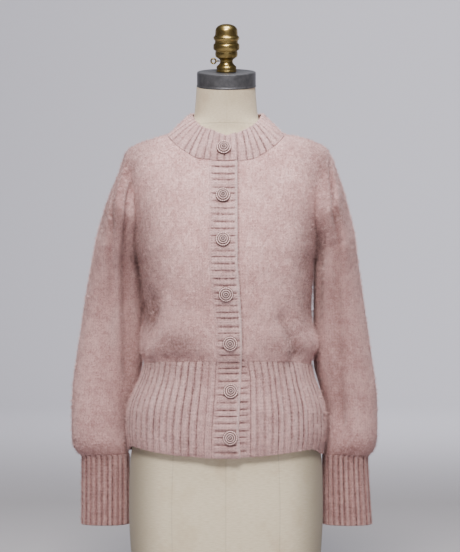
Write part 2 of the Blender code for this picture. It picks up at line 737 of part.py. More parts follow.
def front(side, material):
    """A front, from the waist seam to the underarm and then between the neck and the raglan seam."""
    name = "front_left" if side == LEFT else "front_right"
    shares = np.linspace(0, 1, PANEL_COLUMNS + 1)
    side_angle = side * (90 - SIDE_SEAM_ANGLE)
    low_angle, low_z = lower_rows(lambda z: centre_front_angle(side, z), side_angle, shares, PANEL_ROWS)
    outer_angle, outer_z = raglan_place(side, "front", raglan_stations())
    corner_z = neck_z(centre_front_angle(side, np.array(NECK_AT_FRONT)))
    centre_z = np.linspace(UNDERARM_Z, corner_z, FRONT_ROWS_AT_CENTRE + 1)
    centre_angle = centre_front_angle(side, centre_z)
    neck_rows = RAGLAN_ROWS - FRONT_ROWS_AT_CENTRE
    neck_angle = np.linspace(centre_angle[-1], outer_angle[-1] - side * PANEL_TIP, neck_rows + 1)[1:]
    inner_angle = np.concatenate((centre_angle, neck_angle))
    inner_z = np.concatenate((centre_z, neck_z(neck_angle)))
    high_angle = inner_angle[:, None] + (outer_angle - inner_angle)[:, None] * shares
    high_z = inner_z[:, None] + (outer_z - inner_z)[:, None] * shares
    angle = np.concatenate((low_angle[:-1], high_angle))
    z = np.concatenate((low_z[:-1], high_z))
    normal = torso_normal(angle, z)
    normal[0] = level(normal[0])
    inside = torso(angle, z)
    if side == RIGHT:
        inside = inside + normal * right_lift(inside, z)[..., None]
    outside = inside + normal * CLOTH
    first = len(PANEL_ROWS) - 1
    neck_way = neck_seam(inner_angle[FRONT_ROWS_AT_CENTRE:])[2] * NECK_GAP
    seat_raglan(inside, outside, -1, side, "front", first)
    inside[first + FRONT_ROWS_AT_CENTRE:, 0] += neck_way
    outside[first + FRONT_ROWS_AT_CENTRE:, 0] += neck_way
    inside[-1, 1:] += neck_way[-1]
    outside[-1, 1:] += neck_way[-1]
    return wall(name, inside, outside, material)


def back(material):
    """The back, in one piece from side seam to side seam and between the raglan seams."""
    shares = np.linspace(0, 1, 2 * PANEL_COLUMNS + 1)
    start = 90 + SIDE_SEAM_ANGLE
    low_angle, low_z = lower_rows(lambda z: np.full(len(z), start), 360 - start, shares, PANEL_ROWS)
    left_angle, left_z = raglan_place(LEFT, "back", raglan_stations())
    right_angle, right_z = raglan_place(RIGHT, "back", raglan_stations())
    high_angle = left_angle[:, None] + (right_angle + 360 - left_angle)[:, None] * shares
    edge_z = left_z[:, None] + (right_z - left_z)[:, None] * shares
    rise = np.linspace(0, 1, RAGLAN_ROWS + 1)[:, None]
    high_z = edge_z + (neck_z(high_angle[-1:]) - edge_z[-1:]) * rise
    angle = np.concatenate((low_angle[:-1], high_angle))
    z = np.concatenate((low_z[:-1], high_z))
    inside = torso(angle, z)
    normal = torso_normal(angle, z)
    normal[0] = level(normal[0])
    outside = inside + normal * CLOTH
    first = len(PANEL_ROWS) - 1
    seat_raglan(inside, outside, 0, LEFT, "back", first)
    seat_raglan(inside, outside, -1, RIGHT, "back", first)
    neck_way = neck_seam(angle[-1])[2] * NECK_GAP
    inside[-1] += neck_way
    outside[-1] += neck_way
    return wall("back", inside, outside, material)


def sleeve_piece(side, material):
    """A raglan sleeve: a closed tube up to the underarm, then open along its two seams."""
    name = "sleeve_left" if side == LEFT else "sleeve_right"
    tube = np.array((CUFF_SEAM + SEAM,) + SLEEVE_STATIONS)
    stations = np.concatenate((tube, raglan_stations()))
    inside, normal = sleeve(side, stations[:, None], np.array(SLEEVE_RING)[None, :])
    normal[0] = level(normal[0])
    outside = inside + normal * CLOTH
    first = len(tube)
    for edge, where in ((0, "front"), (-1, "back")):
        point, wall_way, to_sleeve = raglan_seam(side, where, raglan_stations())
        inside[first:, edge] = point + SEAM * to_sleeve
        outside[first:, edge] = point + SEAM * to_sleeve + CLOTH * wall_way
    crotch = raglan_seam(side, "front", raglan_stations())[0][0] + np.array((side * SEAM, 0, 0))
    inside[first, 0] = crotch
    outside[first, 0] = crotch - UP * CLOTH * 2
    _, seam_normal, neck_way = neck_seam(sleeve_neck_angle(side, np.array(SLEEVE_RING)))
    inside[-1] += neck_way * NECK_GAP
    outside[-1] = inside[-1] + seam_normal * CLOTH
    return wall(name, inside, outside, material, ring_rows=first + 1)


def cuff(side, material):
    """A long ribbed cuff, a closed tube with an open end."""
    name = "cuff_left" if side == LEFT else "cuff_right"
    stations = np.array(CUFF_STATIONS + (CUFF_SEAM - SEAM,))
    fine = np.linspace(0, 1, 200)
    curve = sleeve_plain(side, np.full(200, CUFF_STATIONS[1]), fine)
    places, heights = rib_columns(CUFF_RIBS)
    outer_ring = even_places(curve, fine, places)
    inner_ring = outer_ring[::3]
    inside = sleeve_plain(side, stations[:, None], inner_ring[None, :])
    base = sleeve_plain(side, stations[:, None], outer_ring[None, :])
    front_middle = sleeve_plain(side, stations[:, None], 0.25)
    back_middle = sleeve_plain(side, stations[:, None], 0.75)
    outward = level(base - (front_middle + back_middle) / 2)
    closed = base[:, :-1]
    along = np.roll(closed, -1, axis=1) - np.roll(closed, 1, axis=1)
    normal = unit(np.cross(along, UP))
    normal = np.concatenate((normal, normal[:, :1]), axis=1)
    normal = normal * np.sign(dot(normal, outward))
    outside = base + normal * (RIB_BASE + heights)[None, :, None]
    return wall(name, inside, outside, material, ring_rows=len(stations))


def waistband(name, start_angle, end_angle, ribs, material, side=None):
    """One ribbed piece of the deep waistband, with its ribs evenly spaced round the body."""
    places, heights = rib_columns(ribs)
    fine = np.linspace(0, 1, 240)
    angle = np.zeros((len(WAIST_ROWS), len(places)))
    z = np.zeros_like(angle)
    for row, fraction in enumerate(WAIST_ROWS):
        start = start_angle(HEM_AT_FRONT + fraction * (WAIST_AT_FRONT - HEM_AT_FRONT))
        sweep = start + (end_angle - start) * fine
        height = hem_z(sweep) + fraction * (waist_z(sweep) - SEAM - hem_z(sweep))
        angle[row] = even_places(torso(sweep, height), sweep, places)
        z[row] = hem_z(angle[row]) + fraction * (waist_z(angle[row]) - SEAM - hem_z(angle[row]))
    base = torso(angle, z)
    normal = torso_normal(angle, z)
    normal[-1] = level(normal[-1])
    if side == RIGHT:
        base = base + normal * right_lift(base, z)[..., None]
    outside = base + normal * (RIB_BASE + heights)[None, :, None]
    return wall(name, base[:, ::3], outside, material)


def waistbands(material):
    left_end = 90 - SIDE_SEAM_ANGLE
    waistband(
        "waistband_left", lambda z: float(centre_front_angle(LEFT, np.array(z))), left_end,
        WAIST_RIBS_FRONT, material, LEFT,
    )
    waistband(
        "waistband_right", lambda z: float(centre_front_angle(RIGHT, np.array(z))), -left_end,
        WAIST_RIBS_FRONT, material, RIGHT,
    )
    waistband("waistband_back", lambda z: 180 - left_end, 180 + left_end, WAIST_RIBS_BACK, material)


def band_surface(edges, lift, across, along):
    """Points and wall directions of a front band, across it and along it from hem to neck."""
    z = HEM_AT_FRONT + along * (NECK_AT_FRONT - HEM_AT_FRONT) + across * 0
    for _ in range(3):
        x = band_edge(edges, "right", z) * (1 - across) + band_edge(edges, "left", z) * across
        angle = front_angle(x, z)
        z = hem_z(angle) + along * (neck_z(angle) - hem_z(angle))
    normal = torso_normal(angle, z)
    return torso(angle, z) + normal * lift, normal, angle


def front_band(name, edges, lift, columns, material):
    """A band down the front with ribs across it."""
    places, heights = rib_columns(BAND_RIBS)
    across = np.linspace(0, 1, columns + 1)[:, None]
    base, normal, angle = band_surface(edges, lift, across, places[None, :])
    base[:, -1] += neck_seam(angle[:, -1])[2] * NECK_GAP
    outside = base + normal * (RIB_BASE + heights)[None, :, None]
    return wall(name, base[:, ::3], outside, material)


def neckband_surface(angle, share, lifted=True):
    """Inside of the neckband, from its seam (0) to its top edge (1), and its wall's direction."""
    seam, seam_normal, _ = neck_seam(angle)
    turn = np.radians(angle)
    depth = np.where(np.cos(turn) > 0, NECKBAND_TOP_FRONT, NECKBAND_TOP_BACK)
    radius = ring_radius(angle, NECKBAND_TOP_HALF_WIDTH, depth, 2.0)
    top_z = column(NECKBAND_TOP, "angle", "z", np.abs(wrapped(angle, -180)))
    top = points(radius * np.sin(turn) + NECKBAND_TOP_SHIFT, -radius * np.cos(turn), top_z)
    share = np.asarray(share, float)[..., None]
    outward = points(np.sin(turn), -np.cos(turn), 0)
    point = seam + (top - seam) * share + outward * NECKBAND_BOW * 4 * share * (1 - share)
    ahead = neck_seam(angle + ANGLE_STEP)[0] - neck_seam(angle - ANGLE_STEP)[0]
    band_normal = unit(np.cross(ahead, top - seam + outward * NECKBAND_BOW * 4 * (1 - 2 * share)))
    normal = unit(seam_normal + (band_normal - seam_normal) * ease(share * NECKBAND_TURN))
    if lifted:
        rise = ease((angle - NECKBAND_LIFT_START) / (NECKBAND_LIFT_END - NECKBAND_LIFT_START))
        point = point + normal * (NECKBAND_LIFT * rise)[..., None]
    return point, normal


def neckband(material):
    """A ribbed strip round the neck whose top end laps over its under end at the front."""
    start = float(front_angle(np.array(NECKBAND_UNDER_END_X), np.array(NECK_AT_FRONT)))
    end = 360 + float(front_angle(np.array(NECKBAND_TOP_END_X), np.array(NECK_AT_FRONT)))
    places, heights = rib_columns(NECK_RIBS)
    fine = np.linspace(start, end, 400)
    angle = even_places(neckband_surface(fine, np.full(400, 0.5))[0], fine, places)
    grid_angle = np.broadcast_to(angle, (len(NECKBAND_ROWS), len(angle)))
    share = np.broadcast_to(np.array(NECKBAND_ROWS)[:, None], grid_angle.shape)
    base, normal = neckband_surface(grid_angle, share)
    base[0] -= neck_seam(angle)[2] * NECK_GAP
    outside = base + normal * (RIB_BASE + heights)[None, :, None]
    return wall("neckband", base[:, ::3], outside, material)


def turned(name, profile, sides, material):
    """A solid of revolution from a half profile that runs from the top of the axis to its bottom."""
    mesh = bpy.data.meshes.new(name)
    vertices = [(radius * MM, 0, height * MM) for radius, height in zip(profile["radius"], profile["height"])]
    mesh.from_pydata(vertices, [(i, i + 1) for i in range(len(vertices) - 1)], [])
    mesh.materials.append(material)
    piece = bpy.data.objects.new(name, mesh)
    bpy.data.collections[PART].objects.link(piece)
    spin = piece.modifiers.new("Turn", "SCREW")
    spin.steps = sides
    spin.render_steps = sides
    spin.use_merge_vertices = True
    spin.merge_threshold = 0.00001
    spin.use_smooth_shade = True
    return piece


def place(piece, point, upward):
    """Stand a turned piece on a point, with its axis along a direction."""
    piece.location = Vector(point) * MM
    piece.rotation_mode = "QUATERNION"
    piece.rotation_quaternion = UP_VECTOR.rotation_difference(Vector(upward))


def buttons(material):
    """Domed buttons of coiled cord, each square to the cloth under it."""
    above_band = BAND_LIFT + RIB_BASE + RIB_HEIGHT + BUTTON_CLEARANCE
    above_neckband = NECKBAND_LIFT + RIB_BASE + RIB_HEIGHT + BUTTON_CLEARANCE
    neck_angle = 360 + front_angle(np.array([NECK_BUTTON_X]), np.array([NECK_BUTTON_Z]))
    point, normal = neckband_surface(neck_angle, np.array([NECK_BUTTON_PLACE]), lifted=False)
    seats = [(point[0] + normal[0] * above_neckband, normal[0])]
    for x, z in zip(BUTTONS["x"], BUTTONS["z"]):
        angle = front_angle(np.array(x), np.array(z))
        normal = torso_normal(angle, z)
        seats.append((torso(angle, z) + normal * above_band, normal))
    for number, (point, normal) in enumerate(seats, start=1):
        piece = turned(f"button_{number}", BUTTON_PROFILE, BUTTON_SIDES, material)
        place(piece, point, normal)


def form_ring(row, angle, tilt):
    """One ring of the dress form."""
    depth = np.where(np.cos(np.radians(angle)) > 0, row["front"], row["back"])
    radius = ring_radius(angle, row["half_width"], depth, row["squareness"])
    turn = np.radians(angle)
    y = -radius * np.cos(turn)
    return points(radius * np.sin(turn), y + row["lean"], row["z"] + tilt * y)


def closed_stack(name, rings, material):
    """A solid through a stack of rings, with flat ends."""
    vertices = [point * MM for ring in rings for point in ring]
    sides = len(rings[0])
    faces = []
    for level in range(len(rings) - 1):
        for corner in range(sides):
            after = (corner + 1) % sides
            low, high = level * sides, (level + 1) * sides
            faces.append((low + corner, low + after, high + after, high + corner))
    faces.append(tuple(range(sides)))
    faces.append(tuple(range((len(rings) - 1) * sides, len(rings) * sides)))
    return new_object(name, vertices, faces, material)


def form_body(material):
    angle = np.arange(FORM_SIDES) * 360.0 / FORM_SIDES
    rings = []
    for values in zip(*FORM.values()):
        row = dict(zip(FORM, values))
        share = ease((row["z"] - NECK_TILT_START) / (NECK_TILT_END - NECK_TILT_START))
        rings.append(form_ring(row, angle, math.tan(math.radians(CAP_TILT)) * share))
    return closed_stack("form_body", rings, material)


def form_base(material):
    angle = np.arange(FORM_SIDES) * 360.0 / FORM_SIDES
    turn = np.radians(angle)
    rings = []
    for z, inset in zip(BASE_PROFILE["z"], BASE_PROFILE["inset"]):
        depth = np.where(np.cos(turn) > 0, BASE_FRONT - inset, BASE_BACK - inset)
        radius = ring_radius(angle, BASE_HALF_WIDTH - inset, depth, 2.1)
        rings.append(points(radius * np.sin(turn), -radius * np.cos(turn), z))
    return closed_stack("form_base", rings, material)


def form_fittings(steel, brass):
    """The tilted neck cap, the finial that stands on it, and the pin in the finial's side."""
    tilt = math.radians(CAP_TILT)
    axis = np.array((0.0, -math.sin(tilt), math.cos(tilt)))
    foot = np.array(CAP_FOOT)
    cap = turned("form_neck_cap", CAP_PROFILE, CAP_SIDES, steel)
    place(cap, foot, axis)
    finial_foot = foot + axis * (CAP_HEIGHT + REST_GAP)
    finial = turned("form_finial", FINIAL_PROFILE, FINIAL_SIDES, brass)
    place(finial, finial_foot, axis)
    form_pin(brass, finial_foot + axis * PIN_HEIGHT, axis)


def form_pin(brass, root, axis):
    """A small pin with a ring at its outer end, square to the finial's side."""
    bpy.ops.mesh.primitive_cylinder_add(
        vertices=8, radius=PIN_RADIUS * MM, depth=PIN_LENGTH * MM, rotation=(0, math.pi / 2, 0),
        location=(-(PIN_INSET + PIN_LENGTH / 2) * MM, 0, 0),
    )
    pin = bpy.context.object
    pin.name = "form_pin"
    pin.data.name = "form_pin"
    bpy.ops.mesh.primitive_torus_add(
        major_segments=12, minor_segments=6, major_radius=PIN_RING_RADIUS * MM,
        minor_radius=PIN_RADIUS * 1.1 * MM, rotation=(math.pi / 2, 0, 0),
        location=(-(PIN_INSET + PIN_LENGTH + PIN_RING_RADIUS - PIN_RADIUS / 2) * MM, 0, 0),
    )
    ring = bpy.context.object
    ring.name = "pin_ring_shape"
    join = pin.modifiers.new("Ring", "BOOLEAN")
    join.operation = "UNION"
    join.object = ring
    ring.hide_render = True
    ring.display_type = "WIRE"
    for piece, home in ((pin, PART), (ring, CUTTERS)):
        for old_home in list(piece.users_collection):
            old_home.objects.unlink(piece)
        bpy.data.collections[home].objects.link(piece)
    carrier = bpy.data.objects.new("pin_place", None)
    bpy.data.collections[PART].objects.link(carrier)
    place(carrier, root, axis)
    pin.parent = carrier
    ring.parent = carrier
    pin.data.materials.append(brass)


def clear_scene():
    for old in list(bpy.data.objects):
        bpy.data.objects.remove(old, do_unlink=True)


def main():
    clear_scene()
    for name in (PART, CUTTERS):
        bpy.context.scene.collection.children.link(bpy.data.collections.new(name))
    mohair = finish("brushed_mohair_knit", "#c9b1ae", 0.95)
    mohair_rib = finish("ribbed_mohair_knit", "#b79f9c", 0.95)
    cord = finish("coiled_cord", "#bba3a2", 0.85)
    linen = finish("linen_cover", "#c7bdb1", 0.9)
    board = finish("painted_board", "#b9b0a4", 0.7)
    steel = finish("grey_steel", "#58595b", 0.4, 0.8)
    brass = finish("aged_brass", "#8a7a46", 0.35, 1.0)
    for side in (LEFT, RIGHT):
        front(side, mohair)
        sleeve_piece(side, mohair)
        cuff(side, mohair_rib)
    back(mohair)
    waistbands(mohair_rib)
    front_band("button_band", BUTTON_BAND, 0.0, BUTTON_BAND_COLUMNS, mohair_rib)
    front_band("buttonhole_band", BUTTONHOLE_BAND, BAND_LIFT, BUTTONHOLE_BAND_COLUMNS, mohair_rib)
    neckband(mohair_rib)
    buttons(cord)
    form_body(linen)
    form_base(board)
    form_fittings(steel, brass)


main()
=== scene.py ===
"""Looks for a raglan mohair cardigan, buttoned up on a limbless dress form.

The knitted pieces follow the same tables and rules as their solids, worked out finely enough for rounded
ribs, rolled edges and creases, and brushed fibres stand on them. Tables hold millimetres and degrees, and
meshes are made in metres. X runs to the wearer's left, Y to the back and Z up. Angles go round the body
from the centre front (0) over the wearer's left side (90) to the centre back (180).
"""
import math

import bmesh
import bpy
import numpy as np
from mathutils import Matrix, Vector


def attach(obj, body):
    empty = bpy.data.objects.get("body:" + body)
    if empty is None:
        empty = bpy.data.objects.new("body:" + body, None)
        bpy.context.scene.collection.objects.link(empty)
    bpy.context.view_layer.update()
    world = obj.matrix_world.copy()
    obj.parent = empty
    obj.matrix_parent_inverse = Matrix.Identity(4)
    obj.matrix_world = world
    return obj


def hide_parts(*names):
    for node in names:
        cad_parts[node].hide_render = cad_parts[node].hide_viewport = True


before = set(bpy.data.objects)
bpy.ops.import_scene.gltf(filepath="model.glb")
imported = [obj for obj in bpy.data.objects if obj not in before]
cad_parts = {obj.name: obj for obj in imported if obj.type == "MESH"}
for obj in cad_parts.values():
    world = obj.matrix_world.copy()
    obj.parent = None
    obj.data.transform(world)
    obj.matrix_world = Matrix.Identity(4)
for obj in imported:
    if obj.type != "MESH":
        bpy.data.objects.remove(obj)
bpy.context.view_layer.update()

MM = 0.001
LEFT, RIGHT = 1, -1
UP = np.array((0.0, 0.0, 1.0))

# Walls and seams
CLOTH = 2.3
RIB_BASE = 2.0
RIB_HEIGHT = 1.4
SEAM = 0.04
NECK_GAP = 0.15
BAND_GAP = 0.06
SIDE_SEAM_ANGLE = 0.03

# Edges round over within this distance, to a share of the wall's thickness
EDGE_ROLL = 2.4
SEWN_EDGE = 0.72
HIDDEN_EDGE = 0.97
FREE_EDGE = 0.3

# Small steps along and up a surface, used to find which way it faces
ANGLE_STEP = 0.4
HEIGHT_STEP = 0.8
STATION_STEP = 1.5
RING_STEP = 0.004
SEAM_STEP = 2.0
BESIDE_SEAM = 0.01

# The raglan seam's wall leans down a little, and its sleeve side turns into the body's own curve
SEAM_WALL_LEAN = 0.15
SEAM_MITRE = 0.5
SEAM_TURN_START = 0.3
SEAM_TURN_LENGTH = 0.3
SEAM_PULL = 0.4
SEAM_FORWARD = 0.95
NECK_TURN_START = 0.6
NECK_TURN_LENGTH = 0.4

# The buttonhole band lies over the button band, and the right front rises to meet it
BAND_LIFT = 4.2
BAND_LIFT_WIDTH = 25.0
NECKBAND_LIFT = 4.2

# Heights at the centre front and at the underarm, and the raglan seam's stations
HEM_Z = 282.0
WAIST_Z = 442.0
NECK_FRONT_Z = 776.0
UNDERARM_Z = 630.0
RAGLAN_START = 655.0
RAGLAN_END = 896.0

# Ribs in each ribbed piece
WAIST_RIBS_FRONT = 16
WAIST_RIBS_BACK = 34
CUFF_RIBS = 22
NECK_RIBS = 50
BAND_RIBS = 43

# One rib as places across it, from groove to groove, with its height as a share of the full one
RIB_PLACES = (0, 0.07, 0.16, 0.28, 0.5, 0.72, 0.84, 0.93)
RIB_SHAPE = (-0.2, 0.45, 0.95, 1.2, 1.25, 1.2, 0.95, 0.45)
# Painted shade in a rib's groove (below 0) and painted highlight on its top (above 0), at the same places
RIB_SHADE_AND_HIGHLIGHT = (-1.0, -0.68, -0.18, 0.05, 0.12, 0.05, -0.18, -0.68)

# The ribs are flatter at the waistband's hem and where a band is sewn on
HEM_FADE = 34.0
HEM_RIB = 0.55
SELVAGE = 4.4
SELVAGE_RIB = 0.8
# A plain selvage is drawn paler: painted highlight
SELVAGE_HIGHLIGHT = 0.3
SEWN_RIB = 0.21
SEWN_FADE = 9.0

# How much one rib differs from the next: its groove's place, its height and how dark the painted shade in its
# groove is
RIB_PLACE_SPREAD = 0.09
RIB_HEIGHT_SPREAD = 0.14
RIB_SHADE_SPREAD = 0.35
RIB_PLACE_LIMIT = 0.2
RIB_SHADE_LIMITS = (0.3, 1.6)

# How finely each piece is worked out
PANEL_COLUMNS = 64
BACK_COLUMNS = 110
LOWER_ROWS = 44
LOWEST_ROWS = (0, 0.006, 0.014, 0.024, 0.036)
RAGLAN_ROWS = 70
ROWS_AT_CENTRE_FRONT = 28
PANEL_TIP = 2.4
SLEEVE_ROWS = 90
SLEEVE_LOWEST_ROWS = (0, 1.2, 2.8, 5)
SLEEVE_TUBE = (282, 652)
SLEEVE_COLUMNS = 92
SLEEVE_COLUMN_EASE = 0.45
CUFF_ROWS = 40
CUFF_HEM = 150.0
CUFF_MIDDLE = 210.0
CUFF_SEAM = 273.0
WAIST_ROWS = 44
BAND_COLUMNS = 16
NECKBAND_ROWS = 20
FINE_PLACES = 400

# Marks of the decreases, in from each raglan seam
MARK_FIRST_ROW = 6
MARK_STEP = 22.0
MARK_INSET = 11.0
MARK_WIDTH = 3.4
MARK_TINT = -0.3
MARK_RELIEF = 0.6

# Painted shade: how much each millimetre of a sleeve's trough darkens the wool in it
SLEEVE_FOLD_SHADE = -0.025

# The wool looks deeper pink where it hangs away from the light
SLEEVE_PINK = 0.55
SLEEVE_PINK_START = 105.0
SLEEVE_PINK_LENGTH = 85.0
CUFF_PINK_TOP = 330.0
CUFF_PINK_LENGTH = 70.0
BODY_PINK = 0.22
CHEST_PINK_START = 440.0
CHEST_PINK_LENGTH = 200.0

# Brushed fibres on each piece
FRONT_FIBRES = 24000
BACK_FIBRES = 26000
SLEEVE_FIBRES = 34000
CUFF_FIBRES = 8000
WAIST_FIBRES = 10000
WAIST_BACK_FIBRES = 12000
BAND_FIBRES = 4500
NECK_FIBRES = 8000
BODY_FIBRE_LENGTH = (3.0, 9.0)
RIB_FIBRE_LENGTH = (2.5, 7.0)

# One fibre: how steeply it stands, how it bends and hangs, and half its width at the root
FIBRE_LEAST_LIFT = 0.15
FIBRE_SPREAD = 0.6
FIBRE_LENGTH_POWER = 2.2
FIBRE_BEND = 0.6
FIBRE_BACK = 0.12
FIBRE_DROOP = 0.15
FIBRE_HALF_WIDTH = 0.13
FIBRE_HALF_WIDTH_MORE = 0.12
FIBRE_ROOT_DEPTH = 0.25

# Coiled cord of a button: radius and height of each turn's middle, and the cord's own radius
BUTTON_TURNS = ((3.9, 5.6), (7.3, 4.7), (10.8, 3.2))
CORD_RADIUS = 1.05
BUTTON_KNOB = 1.9
# The dark dome under the turns, as radius and height: painted shade between the turns, and a painted shadow
# round the button where it reaches out past them
BUTTON_DOME = ((12.2, 0), (12.7, 0.9), (11.4, 1.7), (8.8, 2.7), (6.0, 3.6), (3.0, 4.2), (0.6, 4.4))
BUTTON_KNOB_HEIGHT = 5.4
BUTTON_CLEARANCE = 0.3

# Dress form
FORM_SIDES = 160
FORM_STEP = 9.0
CAP_TILT = 13.0
CAP_FOOT = (0.8, -12.0, 913.0)
CAP_HEIGHT = 25.6
REST_GAP = 0.3
PIN_HEIGHT = 18.0
PIN_INSET = 11.8
PIN_LENGTH = 7.0
PIN_RADIUS = 1.3
PIN_RING_RADIUS = 4.2
BASE_HALF_WIDTH = 156.0
BASE_FRONT = 106.0
BASE_BACK = 111.0
BASE_THICKNESS = 11.7
BASE_EDGE = 2.5

# Turned fittings, as radius and height from the bottom up
CAP_PROFILE = (
    (51.6, 0), (51.6, 2.4), (51.0, 3.2), (51.0, 22.8), (50.6, 24.6), (49.4, 25.5), (46.5, 25.6), (44, 25.0),
    (20, 25.0),
)
FINIAL_PROFILE = (
    (17.6, 0), (17.6, 2.4), (17.0, 3.0), (17.0, 5.0), (17.4, 6.0), (17.4, 8.0), (16.2, 9.6), (13.6, 12.0),
    (11.8, 14.4), (11.2, 16.6), (11.2, 19.0), (12.4, 21.2), (15.6, 23.2), (18.6, 25.4), (19.6, 28.6),
    (19.4, 33.0), (18.9, 34.6), (19.4, 36.0), (21.8, 37.4), (22.7, 39.6), (22.7, 45.4), (22.0, 47.2),
    (20.4, 48.6), (20.0, 51.0), (20.3, 53.4), (21.8, 55.0), (22.6, 57.2), (22.2, 59.6), (20.4, 61.4),
    (19.6, 63.4), (19.4, 68.0), (19.0, 71.8), (17.8, 74.6), (15.2, 77.4), (11.6, 79.6), (7.0, 81.0),
    (2.0, 81.5),
)


def table(names, *rows):
    """A short table, kept as one array for each named column."""
    return {name: np.array(column, float) for name, column in zip(names.split(), zip(*rows))}


# Inside of the knitted body, as flattened rings that get boxier towards the shoulders
TORSO = table(
    "z half_width front back squareness shift",
    (282, 166, 120, 117, 2.1, 0),
    (290, 167, 123, 120, 2.1, 0),
    (320, 170, 125, 123, 2.1, 0.5),
    (352, 169, 124, 121, 2.1, 0.5),
    (386, 158, 119, 114, 2.1, 1),
    (404, 150, 116, 110, 2.1, 2),
    (430, 143, 113, 105, 2.15, 3),
    (437, 142.5, 113.5, 105, 2.15, 3),
    (446, 145, 117, 110, 2.15, 3),
    (462, 148.5, 122, 113, 2.2, 3),
    (490, 146, 124, 112, 2.2, 3),
    (525, 142, 123, 108, 2.2, 3),
    (560, 144, 126, 105, 2.25, 2),
    (600, 148, 129, 104, 2.3, 1),
    (615, 149.5, 128, 104, 2.35, 0.5),
    (630, 153, 127, 104, 2.4, 0),
    (650, 154.5, 123, 103.5, 2.5, 0),
    (670, 155.5, 118, 103, 2.6, 0),
    (700, 158, 110, 102, 2.7, 0),
    (730, 160.5, 101.5, 99, 2.75, 0),
    (760, 161.5, 91, 93, 2.75, 0),
    (785, 161, 80, 85, 2.7, 0),
    (800, 158, 73, 79, 2.6, 0),
    (814.5, 146, 65, 73, 2.5, 0),
    (823, 120, 60, 69, 2.45, 0),
    (829, 92, 56, 66, 2.4, 0),
    (833, 86, 52, 64, 2.35, 0),
    (838, 80, 50, 62, 2.3, 0),
    (840, 78, 49, 61, 2.3, 0),
)

# Soft folds of the body, each along a line from one angle and height to another; minus is a trough
BODY_FOLDS = table(
    "angle z end_angle end_z width depth",
    (44, 508, 56, 457, 18, -9),
    (28, 536, 44.5, 461, 16, 5),
    (70, 472, 88, 468, 18, 6),
    (-62, 545, -63, 493, 20, -9),
    (-46, 536, -57, 461, 13, 5),
    (-50, 447, -22, 447, 10, -5),
    (-50, 573, -50, 573, 16, -2.5),
    (62, 603, 62, 603, 16, -2.5),
    (140, 500, 128, 455, 13, -7),
    (230, 520, 242, 458, 13, -7),
)
FOLD_RADIUS = 130.0
# Painted shade: how much each millimetre of a body trough darkens the wool, and the painted shade down the
# body's sides beside the sleeves
BODY_FOLD_SHADE = 0.02
SIDE_SHADE = 0.85
SIDE_SHADE_ANGLE = 84.0
SIDE_SHADE_WIDTH = 27.0
SIDE_SHADE_FOOT = 470.0
SIDE_SHADE_FOOT_FADE = 60.0
SIDE_SHADE_TOP = 740.0
SIDE_SHADE_TOP_FADE = 90.0

# The dark line that the upper band's edge throws on the wool beside it
BAND_SHADOW = 0.9
BAND_SHADOW_PLACE = 1.3
BAND_SHADOW_WIDTH = 1.5

HEM = table(
    "angle z",
    (-90, 282), (-75, 293), (-55, 288), (-30, 283), (0, 281.5), (30, 284), (50, 288), (65, 290),
    (85, 277), (100, 278), (135, 284), (180, 282), (225, 285), (255, 280), (270, 282),
)
WAIST_SEAM = table(
    "angle z", (-90, 430), (-50, 440), (0, 442), (50, 440), (90, 430), (180, 436), (270, 430)
)
NECK_SEAM = table(
    "angle z",
    (0, 776), (15, 777.5), (30, 781.7), (41, 791.6), (51.5, 804), (59, 814.6), (65.5, 821.2),
    (76, 826.8), (90, 829), (120, 833), (150, 838), (180, 840),
)

# Side edges of the two front bands, as X at each height
BUTTONHOLE_BAND = table(
    "z right left",
    (282, -23, 24.5), (330, -22, 21), (378, -18, 23.6), (416, -16, 25.3), (442, -15, 26.5),
    (458, -15, 26.9), (495, -17.3, 26.4), (540, -20.8, 24.1), (604, -28, 19.6), (776, -28, 19.6),
)
BUTTON_BAND = table(
    "z right left",
    (282, -4, 40.5), (378, -4, 40.5), (416, -4, 40), (442, -8, 35.5), (458, -12.5, 30), (495, -17, 20.5),
    (540, -18, 17), (604, -25, 15), (776, -25, 15),
)

# Ridge line of each sleeve, from the cuff's hem over the shoulder to the neckband
SLEEVE_RIDGE = table(
    "station left_x left_y left_z right_x right_y right_z",
    (150, 252, 22, 150, 250.5, 24, 150),
    (210, 248, 21, 210, 250, 24, 210),
    (268, 245, 20, 268, 250, 24, 268),
    (279, 255, 20, 279, 260, 24, 279),
    (290, 260, 20, 290, 266, 24, 290),
    (310, 262, 19, 310, 268, 24, 310),
    (350, 262, 18, 350, 268, 25, 350),
    (386, 260, 17, 386, 266.5, 27, 386),
    (438, 252.5, 16, 438, 260.5, 30, 438),
    (490, 245, 14, 490, 252.5, 32, 490),
    (543, 237, 12, 543, 244.5, 29, 543),
    (595, 229.5, 10, 595, 234.5, 22, 595),
    (630, 224.5, 8, 630, 227, 14, 630),
    (655, 221, 7, 655, 221.5, 9, 655),
    (693, 212, 6.5, 692, 210.5, 7, 692),
    (735, 201, 6, 733, 196, 6, 733),
    (768, 190.5, 5.5, 764, 184, 5.5, 764),
    (793, 182.5, 5, 788, 177, 5, 786),
    (811, 173, 4.5, 804, 169.5, 4.5, 800.5),
    (838, 150, 4, 817, 148.5, 4, 813.5),
    (866, 122, 2.5, 825, 119.5, 2.5, 821.5),
    (896, 92, 0, 829, 92, 0, 829),
)

